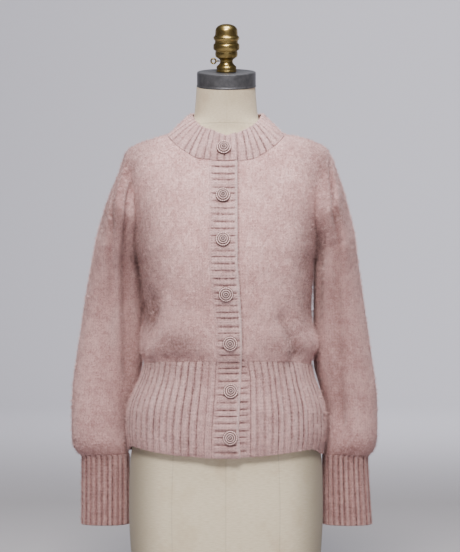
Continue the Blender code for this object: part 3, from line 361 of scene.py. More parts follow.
# Under line of the closed sleeve, on the side that faces the body; the spread turns it outwards
SLEEVE_UNDER = table(
    "station z left_x left_y left_spread right_x right_y right_spread",
    (150, 150, 173, 24, 0, 173, 26, 0),
    (268, 268, 172.5, 24, 0, 173, 27, 0),
    (279, 279, 174, 25, 0, 174.5, 29, 0),
    (290, 290, 175.5, 27, 0, 176, 32, 0),
    (310, 310, 177.5, 30, 0, 177, 36, 0.1),
    (350, 350, 177, 32, 0, 172, 40, 0.25),
    (386, 386, 168.5, 32, 0, 159, 45, 0.38),
    (438, 436, 156.5, 31, 0, 149, 48, 0.38),
    (490, 486, 155.5, 29, 0, 145, 50, 0.38),
    (543, 536, 156.5, 25, 0, 146, 47, 0.38),
    (595, 582, 155.8, 17, 0, 150, 32, 0.38),
    (630, 610, 156, 8, 0.2, 154.5, 14, 0.38),
    (655, 630, 153, 0, 0.38, 153, 0, 0.38),
)

# How far the sleeve bellies out to the front and to the back of those lines
SLEEVE_REACH = table(
    "station front back",
    (150, 24, 24), (210, 24, 24), (268, 24, 25), (279, 31, 32), (290, 38, 40), (310, 42, 45),
    (350, 44, 48), (386, 46, 50), (438, 48, 52), (490, 50, 55), (543, 53, 58), (595, 57, 62),
    (630, 60, 65), (655, 62, 67), (693, 60, 64), (735, 56, 60), (768, 50, 54), (793, 42, 46),
    (811, 34, 38), (838, 28, 32), (866, 22, 26), (896, 18, 18),
)

# Raglan seams, as angle and height on the body
RAGLAN = table(
    "station left_front left_front_z right_front right_front_z back back_z",
    (655, 90, 630, 90, 630, 90, 630),
    (693, 82, 652, 83, 655, 98, 655),
    (735, 74, 688, 76, 690, 104, 690),
    (768, 72, 714, 76, 716, 108, 720),
    (793, 67, 739, 73, 732, 111, 745),
    (811, 63.5, 764, 70.5, 752, 114, 770),
    (838, 61.5, 786, 67.3, 778, 118, 795),
    (866, 59, 799, 62, 792, 123, 815),
    (896, 54.5, 808.3, 51, 803.4, 128, 834.2),
)

# Long troughs down each sleeve: the ring fraction at each ridge height, and their depth
SLEEVE_FOLDS = (
    {"side": LEFT, "height": (280, 350, 400, 440, 543, 595, 640, 692, 733, 764, 805),
     "ring": (0.16, 0.163, 0.19, 0.22, 0.22, 0.24, 0.205, 0.21, 0.205, 0.27, 0.42),
     "width": 0.04, "depth": 9},
    {"side": LEFT, "height": (480, 543, 595, 640, 692, 730), "ring": (0.08, 0.08, 0.09, 0.055, 0.05, 0.05),
     "width": 0.032, "depth": 6},
    {"side": LEFT, "height": (330, 560, 740), "ring": (0.78, 0.74, 0.62), "width": 0.035, "depth": 8},
    {"side": LEFT, "height": (420, 600, 700), "ring": (0.90, 0.88, 0.84), "width": 0.025, "depth": 6},
    {"side": RIGHT, "height": (505, 595, 655, 692, 733, 764, 805),
     "ring": (0.22, 0.22, 0.23, 0.25, 0.36, 0.42, 0.44), "width": 0.034, "depth": 6},
    {"side": RIGHT, "height": (370, 438, 490, 543, 595, 640, 692, 733, 764, 800),
     "ring": (0.07, 0.11, 0.126, 0.13, 0.12, 0.10, 0.09, 0.08, 0.12, 0.13), "width": 0.036, "depth": 10},
    {"side": RIGHT, "height": (360, 600, 750), "ring": (0.80, 0.72, 0.62), "width": 0.035, "depth": 8},
    {"side": RIGHT, "height": (430, 590, 690), "ring": (0.90, 0.87, 0.84), "width": 0.025, "depth": 6},
)
# Where the wool of a sleeve lies in its own shadow or the body's, drawn as painted shade, and two painted
# highlights where the tint is above 0
SLEEVE_SHADES = (
    {"side": RIGHT, "height": (300, 700), "ring": 0.03, "width": 0.08, "tint": -0.42},
    {"side": RIGHT, "height": (550, 740), "ring": 0.0, "width": 0.03, "tint": -0.6},
    {"side": RIGHT, "height": (430, 720), "ring": 0.2, "width": 0.04, "tint": 0.14},
    {"side": RIGHT, "height": (640, 850), "ring": 0.3, "width": 0.24, "tint": -0.9},
    {"side": RIGHT, "height": (380, 700), "ring": 1.0, "width": 0.05, "tint": -0.6},
    {"side": LEFT, "height": (380, 740), "ring": 0.0, "width": 0.05, "tint": -0.6},
    {"side": LEFT, "height": (430, 720), "ring": 0.13, "width": 0.035, "tint": 0.08},
    {"side": LEFT, "height": (660, 850), "ring": 0.26, "width": 0.2, "tint": -0.75},
    {"side": LEFT, "height": (320, 680), "ring": 0.2, "width": 0.2, "tint": -0.28},
    {"side": LEFT, "height": (380, 700), "ring": 1.0, "width": 0.05, "tint": -0.6},
)
FOLD_FADE = 60.0

# Where the wool of the fronts lies in the shadow of a fold, and where a fold's edge catches the light
BODY_SHADES = table(
    "x z width tall turn tint",
    (-132, 665, 24, 75, 0, -0.3), (-122, 600, 22, 45, 0, -0.18), (-125, 517, 19, 24, 0, -0.7),
    (-112, 496, 6, 32, -20, 0.4), (-82, 470, 38, 21, 0, -0.95), (118, 457, 17, 9, 0, -0.75),
    (98, 494, 8, 34, 23, -0.3), (129, 610, 20, 75, 0, -0.3), (131, 520, 11, 42, 0, -0.2),
    (63, 512, 30, 12, -15, -0.2), (112, 478, 24, 24, 0, -0.25), (80, 468, 34, 17, 0, -0.5),
)

NECKBAND_TOP = table("angle z", (0, 820), (45, 842), (90, 865), (135, 869), (180, 870))
NECKBAND_TOP_HALF_WIDTH = 59.5
NECKBAND_TOP_FRONT = 67.0
NECKBAND_TOP_BACK = 58.0
NECKBAND_TOP_SHIFT = 1.5
NECKBAND_BOW = 2.0
NECKBAND_UNDER_END_X = -24.0
NECKBAND_TOP_END_X = 19.6
NECKBAND_LIFT_START = 322.0
NECKBAND_LIFT_END = 341.0

BUTTONS = table(
    "x z", (-4.7, 718), (-4.7, 644), (0.3, 555), (7, 473), (7.8, 391.5), (7, 316)
)
NECK_BUTTON_X = -4.0
NECK_BUTTON_PLACE = 0.5

# Rings of the dress form, from its base to the top of its neck
FORM = table(
    "z half_width front back squareness lean",
    (12, 150, 100, 105, 2.1, 0),
    (104, 165, 112, 120, 2.1, 0),
    (180, 168.5, 114.5, 123, 2.1, 0),
    (245, 167.7, 112.5, 118, 2.1, 0),
    (300, 161.5, 109, 108, 2.1, 0),
    (360, 147, 100, 98, 2.1, 0),
    (410, 130, 92, 90, 2.1, 0),
    (460, 119, 88, 86, 2.15, 0),
    (530, 128, 105, 90, 2.2, 0),
    (600, 140, 122, 97, 2.3, 0),
    (650, 143, 117, 97, 2.5, 0),
    (700, 148, 103, 95, 2.7, 0),
    (760, 157, 85, 87, 2.75, 0),
    (785, 157.5, 75, 80, 2.7, 0),
    (797, 154, 67, 73, 2.6, 0),
    (809.6, 142, 60, 67.5, 2.5, 0),
    (818.4, 116, 55, 63.5, 2.45, 0),
    (827.2, 90, 51, 60, 2.4, 0),
    (835, 78, 49, 57, 2.3, 0),
    (845, 65, 50, 54, 2.2, 0),
    (861, 56, 51, 51, 2.0, -1),
    (886, 53, 50.5, 50.5, 2.0, -5),
    (912.6, 51, 50.5, 50.5, 2.0, -12),
)
NECK_TILT_START = 845.0
NECK_TILT_END = 912.6
NECK_BUTTON_Z = 798.0
FORM_GIRTH = 870.0
THREAD = 1.1
PRINCESS_SEAM = 104.0
NECK_SEAM_Z = 846.0

# The stage and the camera, in metres and watts
SWEEP_FLOOR = 4.6
SWEEP_CURVE = 2.4
SWEEP_STEPS = 20
SWEEP_WALL = 1.6
CAMERA_PLACE = (0.00696, -2.9, 0.5846)
CAMERA_LENS = 108.7
WORLD_LIGHT = 0.12
KEY_POWER = 150.0
TOP_POWER = 75.0
FILL_POWER = 5.0
WALL_POWER = 330.0


def smooth_track(knots, values, at):
    """A smooth curve through a table's column that never overshoots its rows."""
    at = np.clip(np.asarray(at, float), knots[0], knots[-1])
    steps = np.diff(knots)
    slopes = np.diff(values) / steps
    same_way = slopes[:-1] * slopes[1:] > 0
    before = np.where(same_way, slopes[:-1], 1.0)
    after = np.where(same_way, slopes[1:], 1.0)
    weight_before = 2 * steps[1:] + steps[:-1]
    weight_after = steps[1:] + 2 * steps[:-1]
    mean = (weight_before + weight_after) / (weight_before / before + weight_after / after)
    tangents = np.concatenate((slopes[:1], np.where(same_way, mean, 0.0), slopes[-1:]))
    index = np.clip(np.searchsorted(knots, at, side="right") - 1, 0, len(steps) - 1)
    step = steps[index]
    t = (at - knots[index]) / step
    start = (1 + 2 * t) * (1 - t) ** 2 * values[index] + t * (1 - t) ** 2 * step * tangents[index]
    end = t * t * (3 - 2 * t) * values[index + 1] - t * t * (1 - t) * step * tangents[index + 1]
    return start + end


def column(rows, key, name, at):
    return smooth_track(rows[key], rows[name], at)


def ease(value):
    """0 below 0 and 1 above 1, with a soft start and end."""
    value = np.clip(value, 0.0, 1.0)
    return value * value * (3 - 2 * value)


def unit(vectors):
    return vectors / np.maximum(np.linalg.norm(vectors, axis=-1, keepdims=True), 1e-9)


def level(vectors):
    """The same directions without their rise or fall."""
    return unit(vectors * np.array((1.0, 1.0, 0.0)))


def points(x, y, z):
    return np.stack(np.broadcast_arrays(x, y, z), axis=-1).astype(float)


def dot(a, b):
    return np.sum(a * b, axis=-1, keepdims=True)


def wrapped(angle, start):
    """The same direction as an angle from start up to start + 360."""
    return np.mod(np.asarray(angle, float) - start, 360.0) + start


def band_edge(edges, name, z):
    """X of a band's side edge, straight between the rows of the pieces beside it."""
    return np.interp(z, edges["z"], edges[name])


def hem_z(angle):
    return column(HEM, "angle", "z", wrapped(angle, -90))


def waist_z(angle):
    return column(WAIST_SEAM, "angle", "z", wrapped(angle, -90))


def neck_z(angle):
    return column(NECK_SEAM, "angle", "z", np.abs(wrapped(angle, -180)))


def ring_radius(angle, half_width, depth, squareness):
    """Radius of a flattened ring whose corners fill out as its squareness grows."""
    across = np.abs(np.sin(np.radians(angle))) / half_width
    along = np.abs(np.cos(np.radians(angle))) / depth
    return (across ** squareness + along ** squareness) ** (-1 / squareness)


def body_folds(angle, z):
    """How far the folds push the body's cloth in or out."""
    total = 0.0
    for fold in zip(*BODY_FOLDS.values()):
        start_angle, start_z, end_angle, end_z, width, depth = fold
        run = math.radians(end_angle - start_angle) * FOLD_RADIUS
        rise = end_z - start_z
        u = np.radians(wrapped(angle - start_angle, -180)) * FOLD_RADIUS
        v = z - start_z
        along = np.clip((u * run + v * rise) / max(run * run + rise * rise, 1e-6), 0, 1)
        square = (u - along * run) ** 2 + (v - along * rise) ** 2
        total = total + depth * np.exp(-square / width ** 2)
    return total


def body_shade(angle, z):
    """How much painted shade darkens the wool of the body in its troughs and beside the sleeves, with painted
    shadows and highlights on the fronts' folds.
    """
    troughs = BODY_FOLD_SHADE * np.minimum(body_folds(angle, z), 0)
    short_way = np.abs(wrapped(angle, -180))
    beside = np.exp(-((short_way - SIDE_SHADE_ANGLE) / SIDE_SHADE_WIDTH) ** 2)
    beside = beside * ease((z - SIDE_SHADE_FOOT) / SIDE_SHADE_FOOT_FADE)
    beside = beside * ease((SIDE_SHADE_TOP - z) / SIDE_SHADE_TOP_FADE)
    place = torso(angle, z)
    total = troughs - SIDE_SHADE * beside
    for x, height, width, tall, turn, tint in zip(*BODY_SHADES.values()):
        cosine, sine = math.cos(math.radians(turn)), math.sin(math.radians(turn))
        u = (place[..., 0] - x) * cosine + (z - height) * sine
        v = (z - height) * cosine - (place[..., 0] - x) * sine
        total = total + tint * np.exp(-(u / width) ** 2 - (v / tall) ** 2) * (place[..., 1] < 0)
    return total


def torso(angle, z):
    """Inside of the body's cloth at an angle and a height."""
    angle, z = np.broadcast_arrays(np.asarray(angle, float), np.asarray(z, float))
    front = np.cos(np.radians(angle)) > 0
    depth = np.where(front, column(TORSO, "z", "front", z), column(TORSO, "z", "back", z))
    half_width = column(TORSO, "z", "half_width", z)
    squareness = column(TORSO, "z", "squareness", z)
    radius = ring_radius(angle, half_width, depth, squareness) + body_folds(angle, z)
    turn = np.radians(angle)
    return points(radius * np.sin(turn) + column(TORSO, "z", "shift", z), -radius * np.cos(turn), z)


def torso_normal(angle, z):
    across = torso(angle + ANGLE_STEP, z) - torso(angle - ANGLE_STEP, z)
    upward = torso(angle, z + HEIGHT_STEP) - torso(angle, z - HEIGHT_STEP)
    return unit(np.cross(across, upward))


def front_angle(x, z):
    """The angle at which the body's front has this X at this height."""
    low = np.full(np.broadcast(x, z).shape, -80.0)
    high = -low
    for _ in range(30):
        middle = (low + high) / 2
        short = torso(middle, z)[..., 0] < x
        low = np.where(short, middle, low)
        high = np.where(short, high, middle)
    return (low + high) / 2


def neck_seam(angle):
    """Point on the neck seam, the wall's direction there, and the way down from the neckband."""
    point = torso(angle, neck_z(angle))
    normal = torso_normal(angle, neck_z(angle))
    ahead, behind = angle + ANGLE_STEP, angle - ANGLE_STEP
    along = torso(ahead, neck_z(ahead)) - torso(behind, neck_z(behind))
    return point, normal, unit(np.cross(along, normal))


def right_lift(points_in, z):
    """How far the right front rises where it nears the buttonhole band."""
    seam_x = band_edge(BUTTONHOLE_BAND, "right", z)
    return BAND_LIFT * ease(1 - (seam_x - points_in[..., 0]) / BAND_LIFT_WIDTH)


def bezier(a, b, c, d, t):
    return (1 - t) ** 3 * a + 3 * (1 - t) ** 2 * t * b + 3 * (1 - t) * t * t * c + t ** 3 * d


def raglan_place(side, where, station):
    """Angle and height on the body of a raglan seam."""
    name = "back" if where == "back" else ("left_front" if side == LEFT else "right_front")
    angle = column(RAGLAN, "station", name, station)
    z = column(RAGLAN, "station", name + "_z", station)
    return side * angle, z


def side_name(side):
    return "left" if side == LEFT else "right"


def ridge(side, station):
    """Point on a sleeve's ridge line."""
    name = side_name(side)
    x, y, z = (column(SLEEVE_RIDGE, "station", name + part, station) for part in ("_x", "_y", "_z"))
    return points(side * x, y, z)


def sleeve_edge(side, where, station, top):
    """Where a sleeve's ring starts or ends, and which way it leaves that point."""
    angle, z = raglan_place(side, where, station)
    on_body = torso(angle, z)
    name = side_name(side)
    x, y, spread = (
        column(SLEEVE_UNDER, "station", name + part, station) for part in ("_x", "_y", "_spread")
    )
    under = points(side * x, y, column(SLEEVE_UNDER, "station", "z", station))
    point = np.where((station > RAGLAN_START)[..., None], on_body, under)
    forward = 1 if where == "back" else -1
    rise = (station - RAGLAN_START) / (RAGLAN_END - RAGLAN_START)
    loose = unit(points(side * spread, forward * SEAM_FORWARD, 0.0))
    loose = loose * column(SLEEVE_REACH, "station", where, station)[..., None] * 4 / 3
    normal = torso_normal(angle, z)
    span = top - point
    flat = unit(span - dot(span, normal) * normal)
    flat = flat * np.linalg.norm(span, axis=-1, keepdims=True) * SEAM_PULL
    weight = ease((rise - SEAM_TURN_START) / SEAM_TURN_LENGTH)[..., None]
    return point, loose * (1 - weight) + flat * weight


def sleeve_neck_angle(side, ring):
    """The angle on the neck seam at which a sleeve's ring fraction ends."""
    front_end, _ = raglan_place(side, "front", RAGLAN_END)
    back_end, _ = raglan_place(side, "back", RAGLAN_END)
    before = front_end + (side * 90 - front_end) * ring * 2
    after = side * 90 + (back_end - side * 90) * (ring * 2 - 1)
    return np.where(ring < 0.5, before, after)


def sleeve_plain(side, station, ring):
    """Inside of a sleeve before its folds, round a ring from the front seam over the ridge to the back."""
    station, ring = np.broadcast_arrays(np.asarray(station, float), np.asarray(ring, float))
    top = ridge(side, station)
    front, front_way = sleeve_edge(side, "front", station, top)
    back, back_way = sleeve_edge(side, "back", station, top)
    front_reach = points(0, -4 / 3 * column(SLEEVE_REACH, "station", "front", station), 0)
    back_reach = points(0, 4 / 3 * column(SLEEVE_REACH, "station", "back", station), 0)
    share = ring[..., None]
    first = bezier(front, front + front_way, top + front_reach, top, np.clip(share * 2, 0, 1))
    second = bezier(top, top + back_reach, back + back_way, back, np.clip(share * 2 - 1, 0, 1))
    loft = np.where(share < 0.5, first, second)
    # The last rings turn into the neck seam's own curve
    seam_angle = sleeve_neck_angle(side, ring)
    seam_ends = [neck_seam(sleeve_neck_angle(side, np.array(place)))[0] for place in (0.0, 0.5, 1.0)]
    drift_front = (front - seam_ends[0]) * np.clip(1 - share * 2, 0, 1)
    drift_top = (top - seam_ends[1]) * (1 - np.abs(share * 2 - 1))
    drift_back = (back - seam_ends[2]) * np.clip(share * 2 - 1, 0, 1)
    seam_curve = neck_seam(seam_angle)[0] + drift_front + drift_top + drift_back
    rise = (station - RAGLAN_START) / (RAGLAN_END - RAGLAN_START)
    weight = ease((rise - NECK_TURN_START) / NECK_TURN_LENGTH)[..., None]
    return loft * (1 - weight) + seam_curve * weight


def sleeve_normal(side, station, ring):
    station, ring = np.broadcast_arrays(np.asarray(station, float), np.asarray(ring, float))
    low, high = np.clip(ring - RING_STEP, 0, 1), np.clip(ring + RING_STEP, 0, 1)
    across = sleeve_plain(side, station, high) - sleeve_plain(side, station, low)
    above = sleeve_plain(side, station + STATION_STEP, ring)
    below = sleeve_plain(side, station - STATION_STEP, ring)
    return side * unit(np.cross(across, above - below))


def faded(height, low, high):
    """1 between two heights, falling softly to 0 at both."""
    return ease((height - low) / FOLD_FADE) * ease((high - height) / FOLD_FADE)


def sleeve_fold(side, station, ring):
    """How deep the sleeve's long troughs are at a place."""
    height = ridge(side, station)[..., 2]
    total = 0.0
    for fold in SLEEVE_FOLDS:
        if fold["side"] != side:
            continue
        middle = np.interp(height, fold["height"], fold["ring"])
        fade = faded(height, fold["height"][0], fold["height"][-1])
        total = total + fold["depth"] * fade * np.exp(-((ring - middle) / fold["width"]) ** 2)
    return total


def sleeve_shade(side, station, ring):
    """How much painted shade darkens the wool of a sleeve in its folds and in its own shadow or the body's,
    less a few painted highlights.
    """
    height = ridge(side, station)[..., 2]
    total = SLEEVE_FOLD_SHADE * sleeve_fold(side, station, ring)
    for shade in SLEEVE_SHADES:
        if shade["side"] == side:
            away = (ring - shade["ring"]) / shade["width"]
            total = total + shade["tint"] * faded(height, *shade["height"]) * np.exp(-away ** 2)
    return total


def sleeve(side, station, ring):
    """Inside of a sleeve, and the way its wall faces."""
    station, ring = np.broadcast_arrays(np.asarray(station, float), np.asarray(ring, float))
    normal = sleeve_normal(side, station, ring)
    return sleeve_plain(side, station, ring) - normal * sleeve_fold(side, station, ring)[..., None], normal


def raglan_seam(side, where, station):
    """Points on a raglan seam, the wall's direction and length there, and the way to the sleeve."""
    angle, z = raglan_place(side, where, station)
    point = torso(angle, z)
    ring = 0.0 if where == "front" else 1.0
    body_way = torso_normal(angle, z)
    on_sleeve = np.maximum(station, RAGLAN_START + 1)
    sleeve_way = sleeve_normal(side, on_sleeve, ring)
    wall_way = unit(body_way + sleeve_way - SEAM_WALL_LEAN * UP)
    length = 1 / np.clip(dot(wall_way, body_way), SEAM_MITRE, 1)
    low = np.maximum(station - SEAM_STEP, RAGLAN_START)
    high = np.minimum(station + SEAM_STEP, RAGLAN_END)
    along = torso(*raglan_place(side, where, high)) - torso(*raglan_place(side, where, low))
    inward = -side if where == "front" else side
    panel_way = unit(torso(angle + SEAM_STEP * inward, z) - point)
    nearby = np.full_like(station, BESIDE_SEAM if where == "front" else 1 - BESIDE_SEAM)
    leave = unit(sleeve_plain(side, on_sleeve, nearby) - point)
    to_sleeve = unit(np.cross(along, wall_way))
    to_sleeve = to_sleeve * np.sign(dot(to_sleeve, leave - panel_way))
    return point, wall_way * length, to_sleeve


def even_places(curve, places, fractions):
    """The places along a curve that part it into even lengths."""
    lengths = np.concatenate(([0.0], np.cumsum(np.linalg.norm(np.diff(curve, axis=0), axis=1))))
    return np.interp(np.asarray(fractions) * lengths[-1], lengths, places)


def neckband_surface(angle, share, lifted=True):
    """Inside of the neckband, from its seam (0) to its top edge (1), and its wall's direction."""
    seam, seam_normal, _ = neck_seam(angle)
    turn = np.radians(angle)
    depth = np.where(np.cos(turn) > 0, NECKBAND_TOP_FRONT, NECKBAND_TOP_BACK)
    radius = ring_radius(angle, NECKBAND_TOP_HALF_WIDTH, depth, 2.0)
    top_z = column(NECKBAND_TOP, "angle", "z", np.abs(wrapped(angle, -180)))
    top = points(radius * np.sin(turn) + NECKBAND_TOP_SHIFT, -radius * np.cos(turn), top_z)
    share = np.asarray(share, float)[..., None]
    outward = points(np.sin(turn), -np.cos(turn), 0)
    point = seam + (top - seam) * share + outward * NECKBAND_BOW * 4 * share * (1 - share)
    ahead = neck_seam(angle + ANGLE_STEP)[0] - neck_seam(angle - ANGLE_STEP)[0]
    band_normal = unit(np.cross(ahead, top - seam + outward * NECKBAND_BOW * 4 * (1 - 2 * share)))
    normal = unit(seam_normal + (band_normal - seam_normal) * ease(share * 2.5))
    if lifted:
        rise = ease((angle - NECKBAND_LIFT_START) / (NECKBAND_LIFT_END - NECKBAND_LIFT_START))
        point = point + normal * (NECKBAND_LIFT * rise)[..., None]
    return point, normal


def band_surface(edges, lift, across, along):
    """Points and wall directions of a front band, across it and along it from hem to neck."""
    z = HEM_Z + along * (NECK_FRONT_Z - HEM_Z) + across * 0
    for _ in range(3):
        x = band_edge(edges, "right", z) * (1 - across) + band_edge(edges, "left", z) * across
        angle = front_angle(x, z)
        z = hem_z(angle) + along * (neck_z(angle) - hem_z(angle))
    normal = torso_normal(angle, z)
    return torso(angle, z) + normal * lift, normal, angle


def spread(count, ease_in=0.75):
    """Shares from 0 to 1 that lie closer together near both ends."""
    t = np.linspace(0, 1, count + 1)
    return t - ease_in / (2 * np.pi) * np.sin(2 * np.pi * t)


def travelled(grid, axis):
    """How far each point of a grid is from the grid's first row or column, along the cloth."""
    steps = np.linalg.norm(np.diff(grid, axis=axis), axis=-1)
    start = np.zeros_like(np.take(steps, [0], axis=axis))
    return np.concatenate((start, np.cumsum(steps, axis=axis)), axis=axis)


def rolled(distance, thinnest):
    """Share of the cloth's full thickness near an edge that rounds over to its thinnest share."""
    inside = 1 - np.clip(distance / EDGE_ROLL, 0, 1)
    return thinnest + (1 - thinnest) * np.sqrt(1 - inside ** 2)


def edge_share(grid, rows=(SEWN_EDGE, SEWN_EDGE), columns=(SEWN_EDGE, SEWN_EDGE), from_row=0):
    """Thickness shares for a whole grid: the share at its first and last rows and columns is given."""
    along = travelled(grid, 0)
    across = travelled(grid, 1)
    share = np.minimum(rolled(along, rows[0]), rolled(along[-1:] - along, rows[1]))
    sides = np.minimum(rolled(across, columns[0]), rolled(across[:, -1:] - across, columns[1]))
    sides[:from_row] = 1
    return np.minimum(share, sides)


def quads(numbers):
    """The four corners of each cell in a grid of point numbers."""
    corners = (numbers[:-1, :-1], numbers[:-1, 1:], numbers[1:, 1:], numbers[1:, :-1])
    return np.stack(corners, -1).reshape(-1, 4)


def rim(inner, outer):
    """Triangles between an inner edge and an outer one with twice as many steps."""
    a, b = inner[:-1], inner[1:]
    first, middle, last = outer[:-1:2], outer[1::2], outer[2::2]
    return np.concatenate((
        np.stack((a, first, middle), -1), np.stack((a, middle, b), -1), np.stack((b, middle, last), -1),
    ))


def mesh_object(name, vertices, faces, material):
    """An object from points in millimetres and groups of faces with the same number of corners."""
    sizes = np.concatenate([np.full(len(group), group.shape[1]) for group in faces])
    corners = np.concatenate([group.ravel() for group in faces]).astype(np.int32)
    mesh = bpy.data.meshes.new(name)
    mesh.vertices.add(len(vertices))
    mesh.vertices.foreach_set("co", (vertices * MM).ravel())
    mesh.loops.add(len(corners))
    mesh.loops.foreach_set("vertex_index", corners)
    mesh.polygons.add(len(sizes))
    mesh.polygons.foreach_set("loop_start", np.concatenate(([0], np.cumsum(sizes)[:-1])).astype(np.int32))
    mesh.update(calc_edges=True)
    mesh.materials.append(material)
    piece = bpy.data.objects.new(name, mesh)
    bpy.context.scene.collection.objects.link(piece)
    return piece


def face_outward(mesh):
    work = bmesh.new()
    work.from_mesh(mesh)
    bmesh.ops.recalc_face_normals(work, faces=work.faces)
    work.to_mesh(mesh)
    work.free()


def shade_pinkness(place):
    """How much deeper pink the wool is drawn at a place in millimetres, as painted shade: least at the chest,
    most on the cuffs.
    """
    aside, height = np.abs(place[..., 0]), place[..., 2]
    sleeve = ease((aside - SLEEVE_PINK_START) / SLEEVE_PINK_LENGTH)
    chest = ease((height - CHEST_PINK_START) / CHEST_PINK_LENGTH)
    cuff = ease((CUFF_PINK_TOP - height) / CUFF_PINK_LENGTH) * sleeve
    return (SLEEVE_PINK * sleeve + (1 - SLEEVE_PINK) * cuff) + BODY_PINK * (1 - chest) * (1 - sleeve)


def add_shades(mesh, place, tint):
    """Give a mesh, at each point, how much deeper pink it is drawn as painted shade, and how much darker
    (below 0: painted shade, and the marks of the decreases) or paler (above 0: painted highlight) it is
    there.
    """
    for name, values in (("shade_pinkness", shade_pinkness(place)), ("tint", tint)):
        layer = mesh.attributes.new(name, "FLOAT", "POINT")
        layer.data.foreach_set("value", values.astype(np.float32))


def shell(name, inside, outside, uv, tint, material, ring_rows=0):
    """A closed wall of cloth. Its inner side keeps every second row and column of the outer one, and
    the first ring_rows rows close into rings."""
    rows, columns = outside.shape[:2]
    outer = np.arange(rows * columns).reshape(rows, columns)
    small = inside[::2, ::2]
    inner = rows * columns + np.arange(small.shape[0] * small.shape[1]).reshape(small.shape[:2])
    faces = [quads(outer), quads(inner)[:, ::-1]]
    edges = [rim(inner[end], outer[end]) for end in (0, -1)]
    first_open = max(ring_rows - 1, 0)
    if first_open < rows - 1:
        edges += [rim(inner[first_open // 2:, end], outer[first_open:, end]) for end in (0, -1)]
    faces.append(np.concatenate(edges))
    home = np.arange(outer.size + inner.size)
    home[outer[:ring_rows, -1]] = outer[:ring_rows, 0]
    closed = (ring_rows + 1) // 2
    home[inner[:closed, -1]] = inner[:closed, 0]
    vertices = np.concatenate((outside.reshape(-1, 3), small.reshape(-1, 3)))
    used, renumbered = np.unique(home, return_inverse=True)
    piece = mesh_object(name, vertices[used], [renumbered[group] for group in faces], material)
    mesh = piece.data
    uv_all = np.concatenate((uv.reshape(-1, 2), uv[::2, ::2].reshape(-1, 2))) * MM
    layer = mesh.uv_layers.new(name="cloth")
    corner_places = np.concatenate([group.ravel() for group in faces])
    layer.data.foreach_set("uv", uv_all[corner_places].ravel())
    tint_all = np.concatenate((tint.ravel(), tint[::2, ::2].ravel()))
    add_shades(mesh, vertices[used], tint_all[used])
    face_outward(mesh)
    mesh.shade_smooth()
    return piece


def fibres(name, outside, tint, sign, count, seed, material, length=BODY_FIBRE_LENGTH):
    """Brushed mohair on a grid of cloth: thin bent ribbons, three triangles each, in one mesh."""
    random = np.random.default_rng(seed)
    across = outside[:-1, 1:] - outside[:-1, :-1]
    upward = outside[1:, :-1] - outside[:-1, :-1]
    crossed = np.cross(across, upward)
    area = np.linalg.norm(crossed, axis=-1).ravel()
    cells = random.choice(len(area), count, p=area / area.sum())
    row, place = np.divmod(cells, outside.shape[1] - 1)
    s, t = random.random((2, count, 1))
    root = (
        outside[row, place] * (1 - s) * (1 - t) + outside[row, place + 1] * s * (1 - t)
        + outside[row + 1, place] * (1 - s) * t + outside[row + 1, place + 1] * s * t
    )
    normal = unit(crossed[row, place]) * sign
    side = unit(across[row, place])
    other = np.cross(normal, side)
    turn = random.random((count, 1)) * 2 * np.pi
    lift = FIBRE_LEAST_LIFT + (1 - FIBRE_LEAST_LIFT) * random.random((count, 1)) ** 1.5
    way = unit(normal * lift + (side * np.cos(turn) + other * np.sin(turn)) * (1 - lift * FIBRE_SPREAD))
    reach = length[0] + (length[1] - length[0]) * random.random((count, 1)) ** FIBRE_LENGTH_POWER
    bend = random.normal(0, FIBRE_BEND, (count, 3)) - normal * FIBRE_BACK - UP * FIBRE_DROOP
    middle = root + way * reach * 0.5
    tip = middle + unit(way + bend) * reach * 0.5
    flat = unit(np.cross(way, random.normal(0, 1, (count, 3))))
    thick = (FIBRE_HALF_WIDTH + FIBRE_HALF_WIDTH_MORE * random.random((count, 1))) * flat
    root = root - normal * FIBRE_ROOT_DEPTH
    vertices = np.stack((root - thick, root + thick, middle + thick * 0.8, middle - thick * 0.8, tip), 1)
    first = np.arange(count)[:, None] * 5
    body = first + np.array((0, 1, 2, 3))
    end = first + np.array((3, 2, 4))
    vertices = vertices.reshape(-1, 3)
    piece = mesh_object(name, vertices, [body, end], material)
    # Each fibre carries the painted shade or highlight of the cloth at its root, and the deeper pink of
    # painted shade where it stands
    add_shades(piece.data, vertices, np.repeat(tint[row, place], 5))
    piece.data.shade_smooth()
    return piece


def rib_profile(count, seed):
    """Places across a number of uneven ribs, with the height at each and its painted shade (below 0, in the
    grooves) or painted highlight (above 0, on the tops).
    """
    random = np.random.default_rng(seed)
    shift = random.normal(0, RIB_PLACE_SPREAD, count + 1)
    shift[[0, -1]] = 0
    starts = np.arange(count + 1) + np.clip(shift, -RIB_PLACE_LIMIT, RIB_PLACE_LIMIT)
    widths = np.diff(starts)[:, None]
    tall = 1 + random.normal(0, RIB_HEIGHT_SPREAD, (count, 1))
    dark = np.clip(1 + random.normal(0, RIB_SHADE_SPREAD, (count, 1)), *RIB_SHADE_LIMITS)
    places = (starts[:-1, None] + np.array(RIB_PLACES) * widths) / count
    heights = np.array(RIB_SHAPE) * tall
    tints = np.array(RIB_SHADE_AND_HIGHLIGHT) * dark
    return (
        np.append(places.ravel(), 1.0), np.append(heights.ravel(), RIB_SHAPE[0]),
        np.append(tints.ravel(), RIB_SHADE_AND_HIGHLIGHT[0]),
    )


def arc_tables():
    """Lengths round the body from the centre front and up it from the waist, on a grid of places."""
    angles = np.linspace(-180, 180, 121)
    heights = np.concatenate((np.linspace(430, 800, 38), np.linspace(802, 840, 20)))
    grid = torso(angles[None, :], heights[:, None])
    around = travelled(grid, 1)
    around = around - around[:, 60:61]
    return angles, heights, around, travelled(grid, 0)


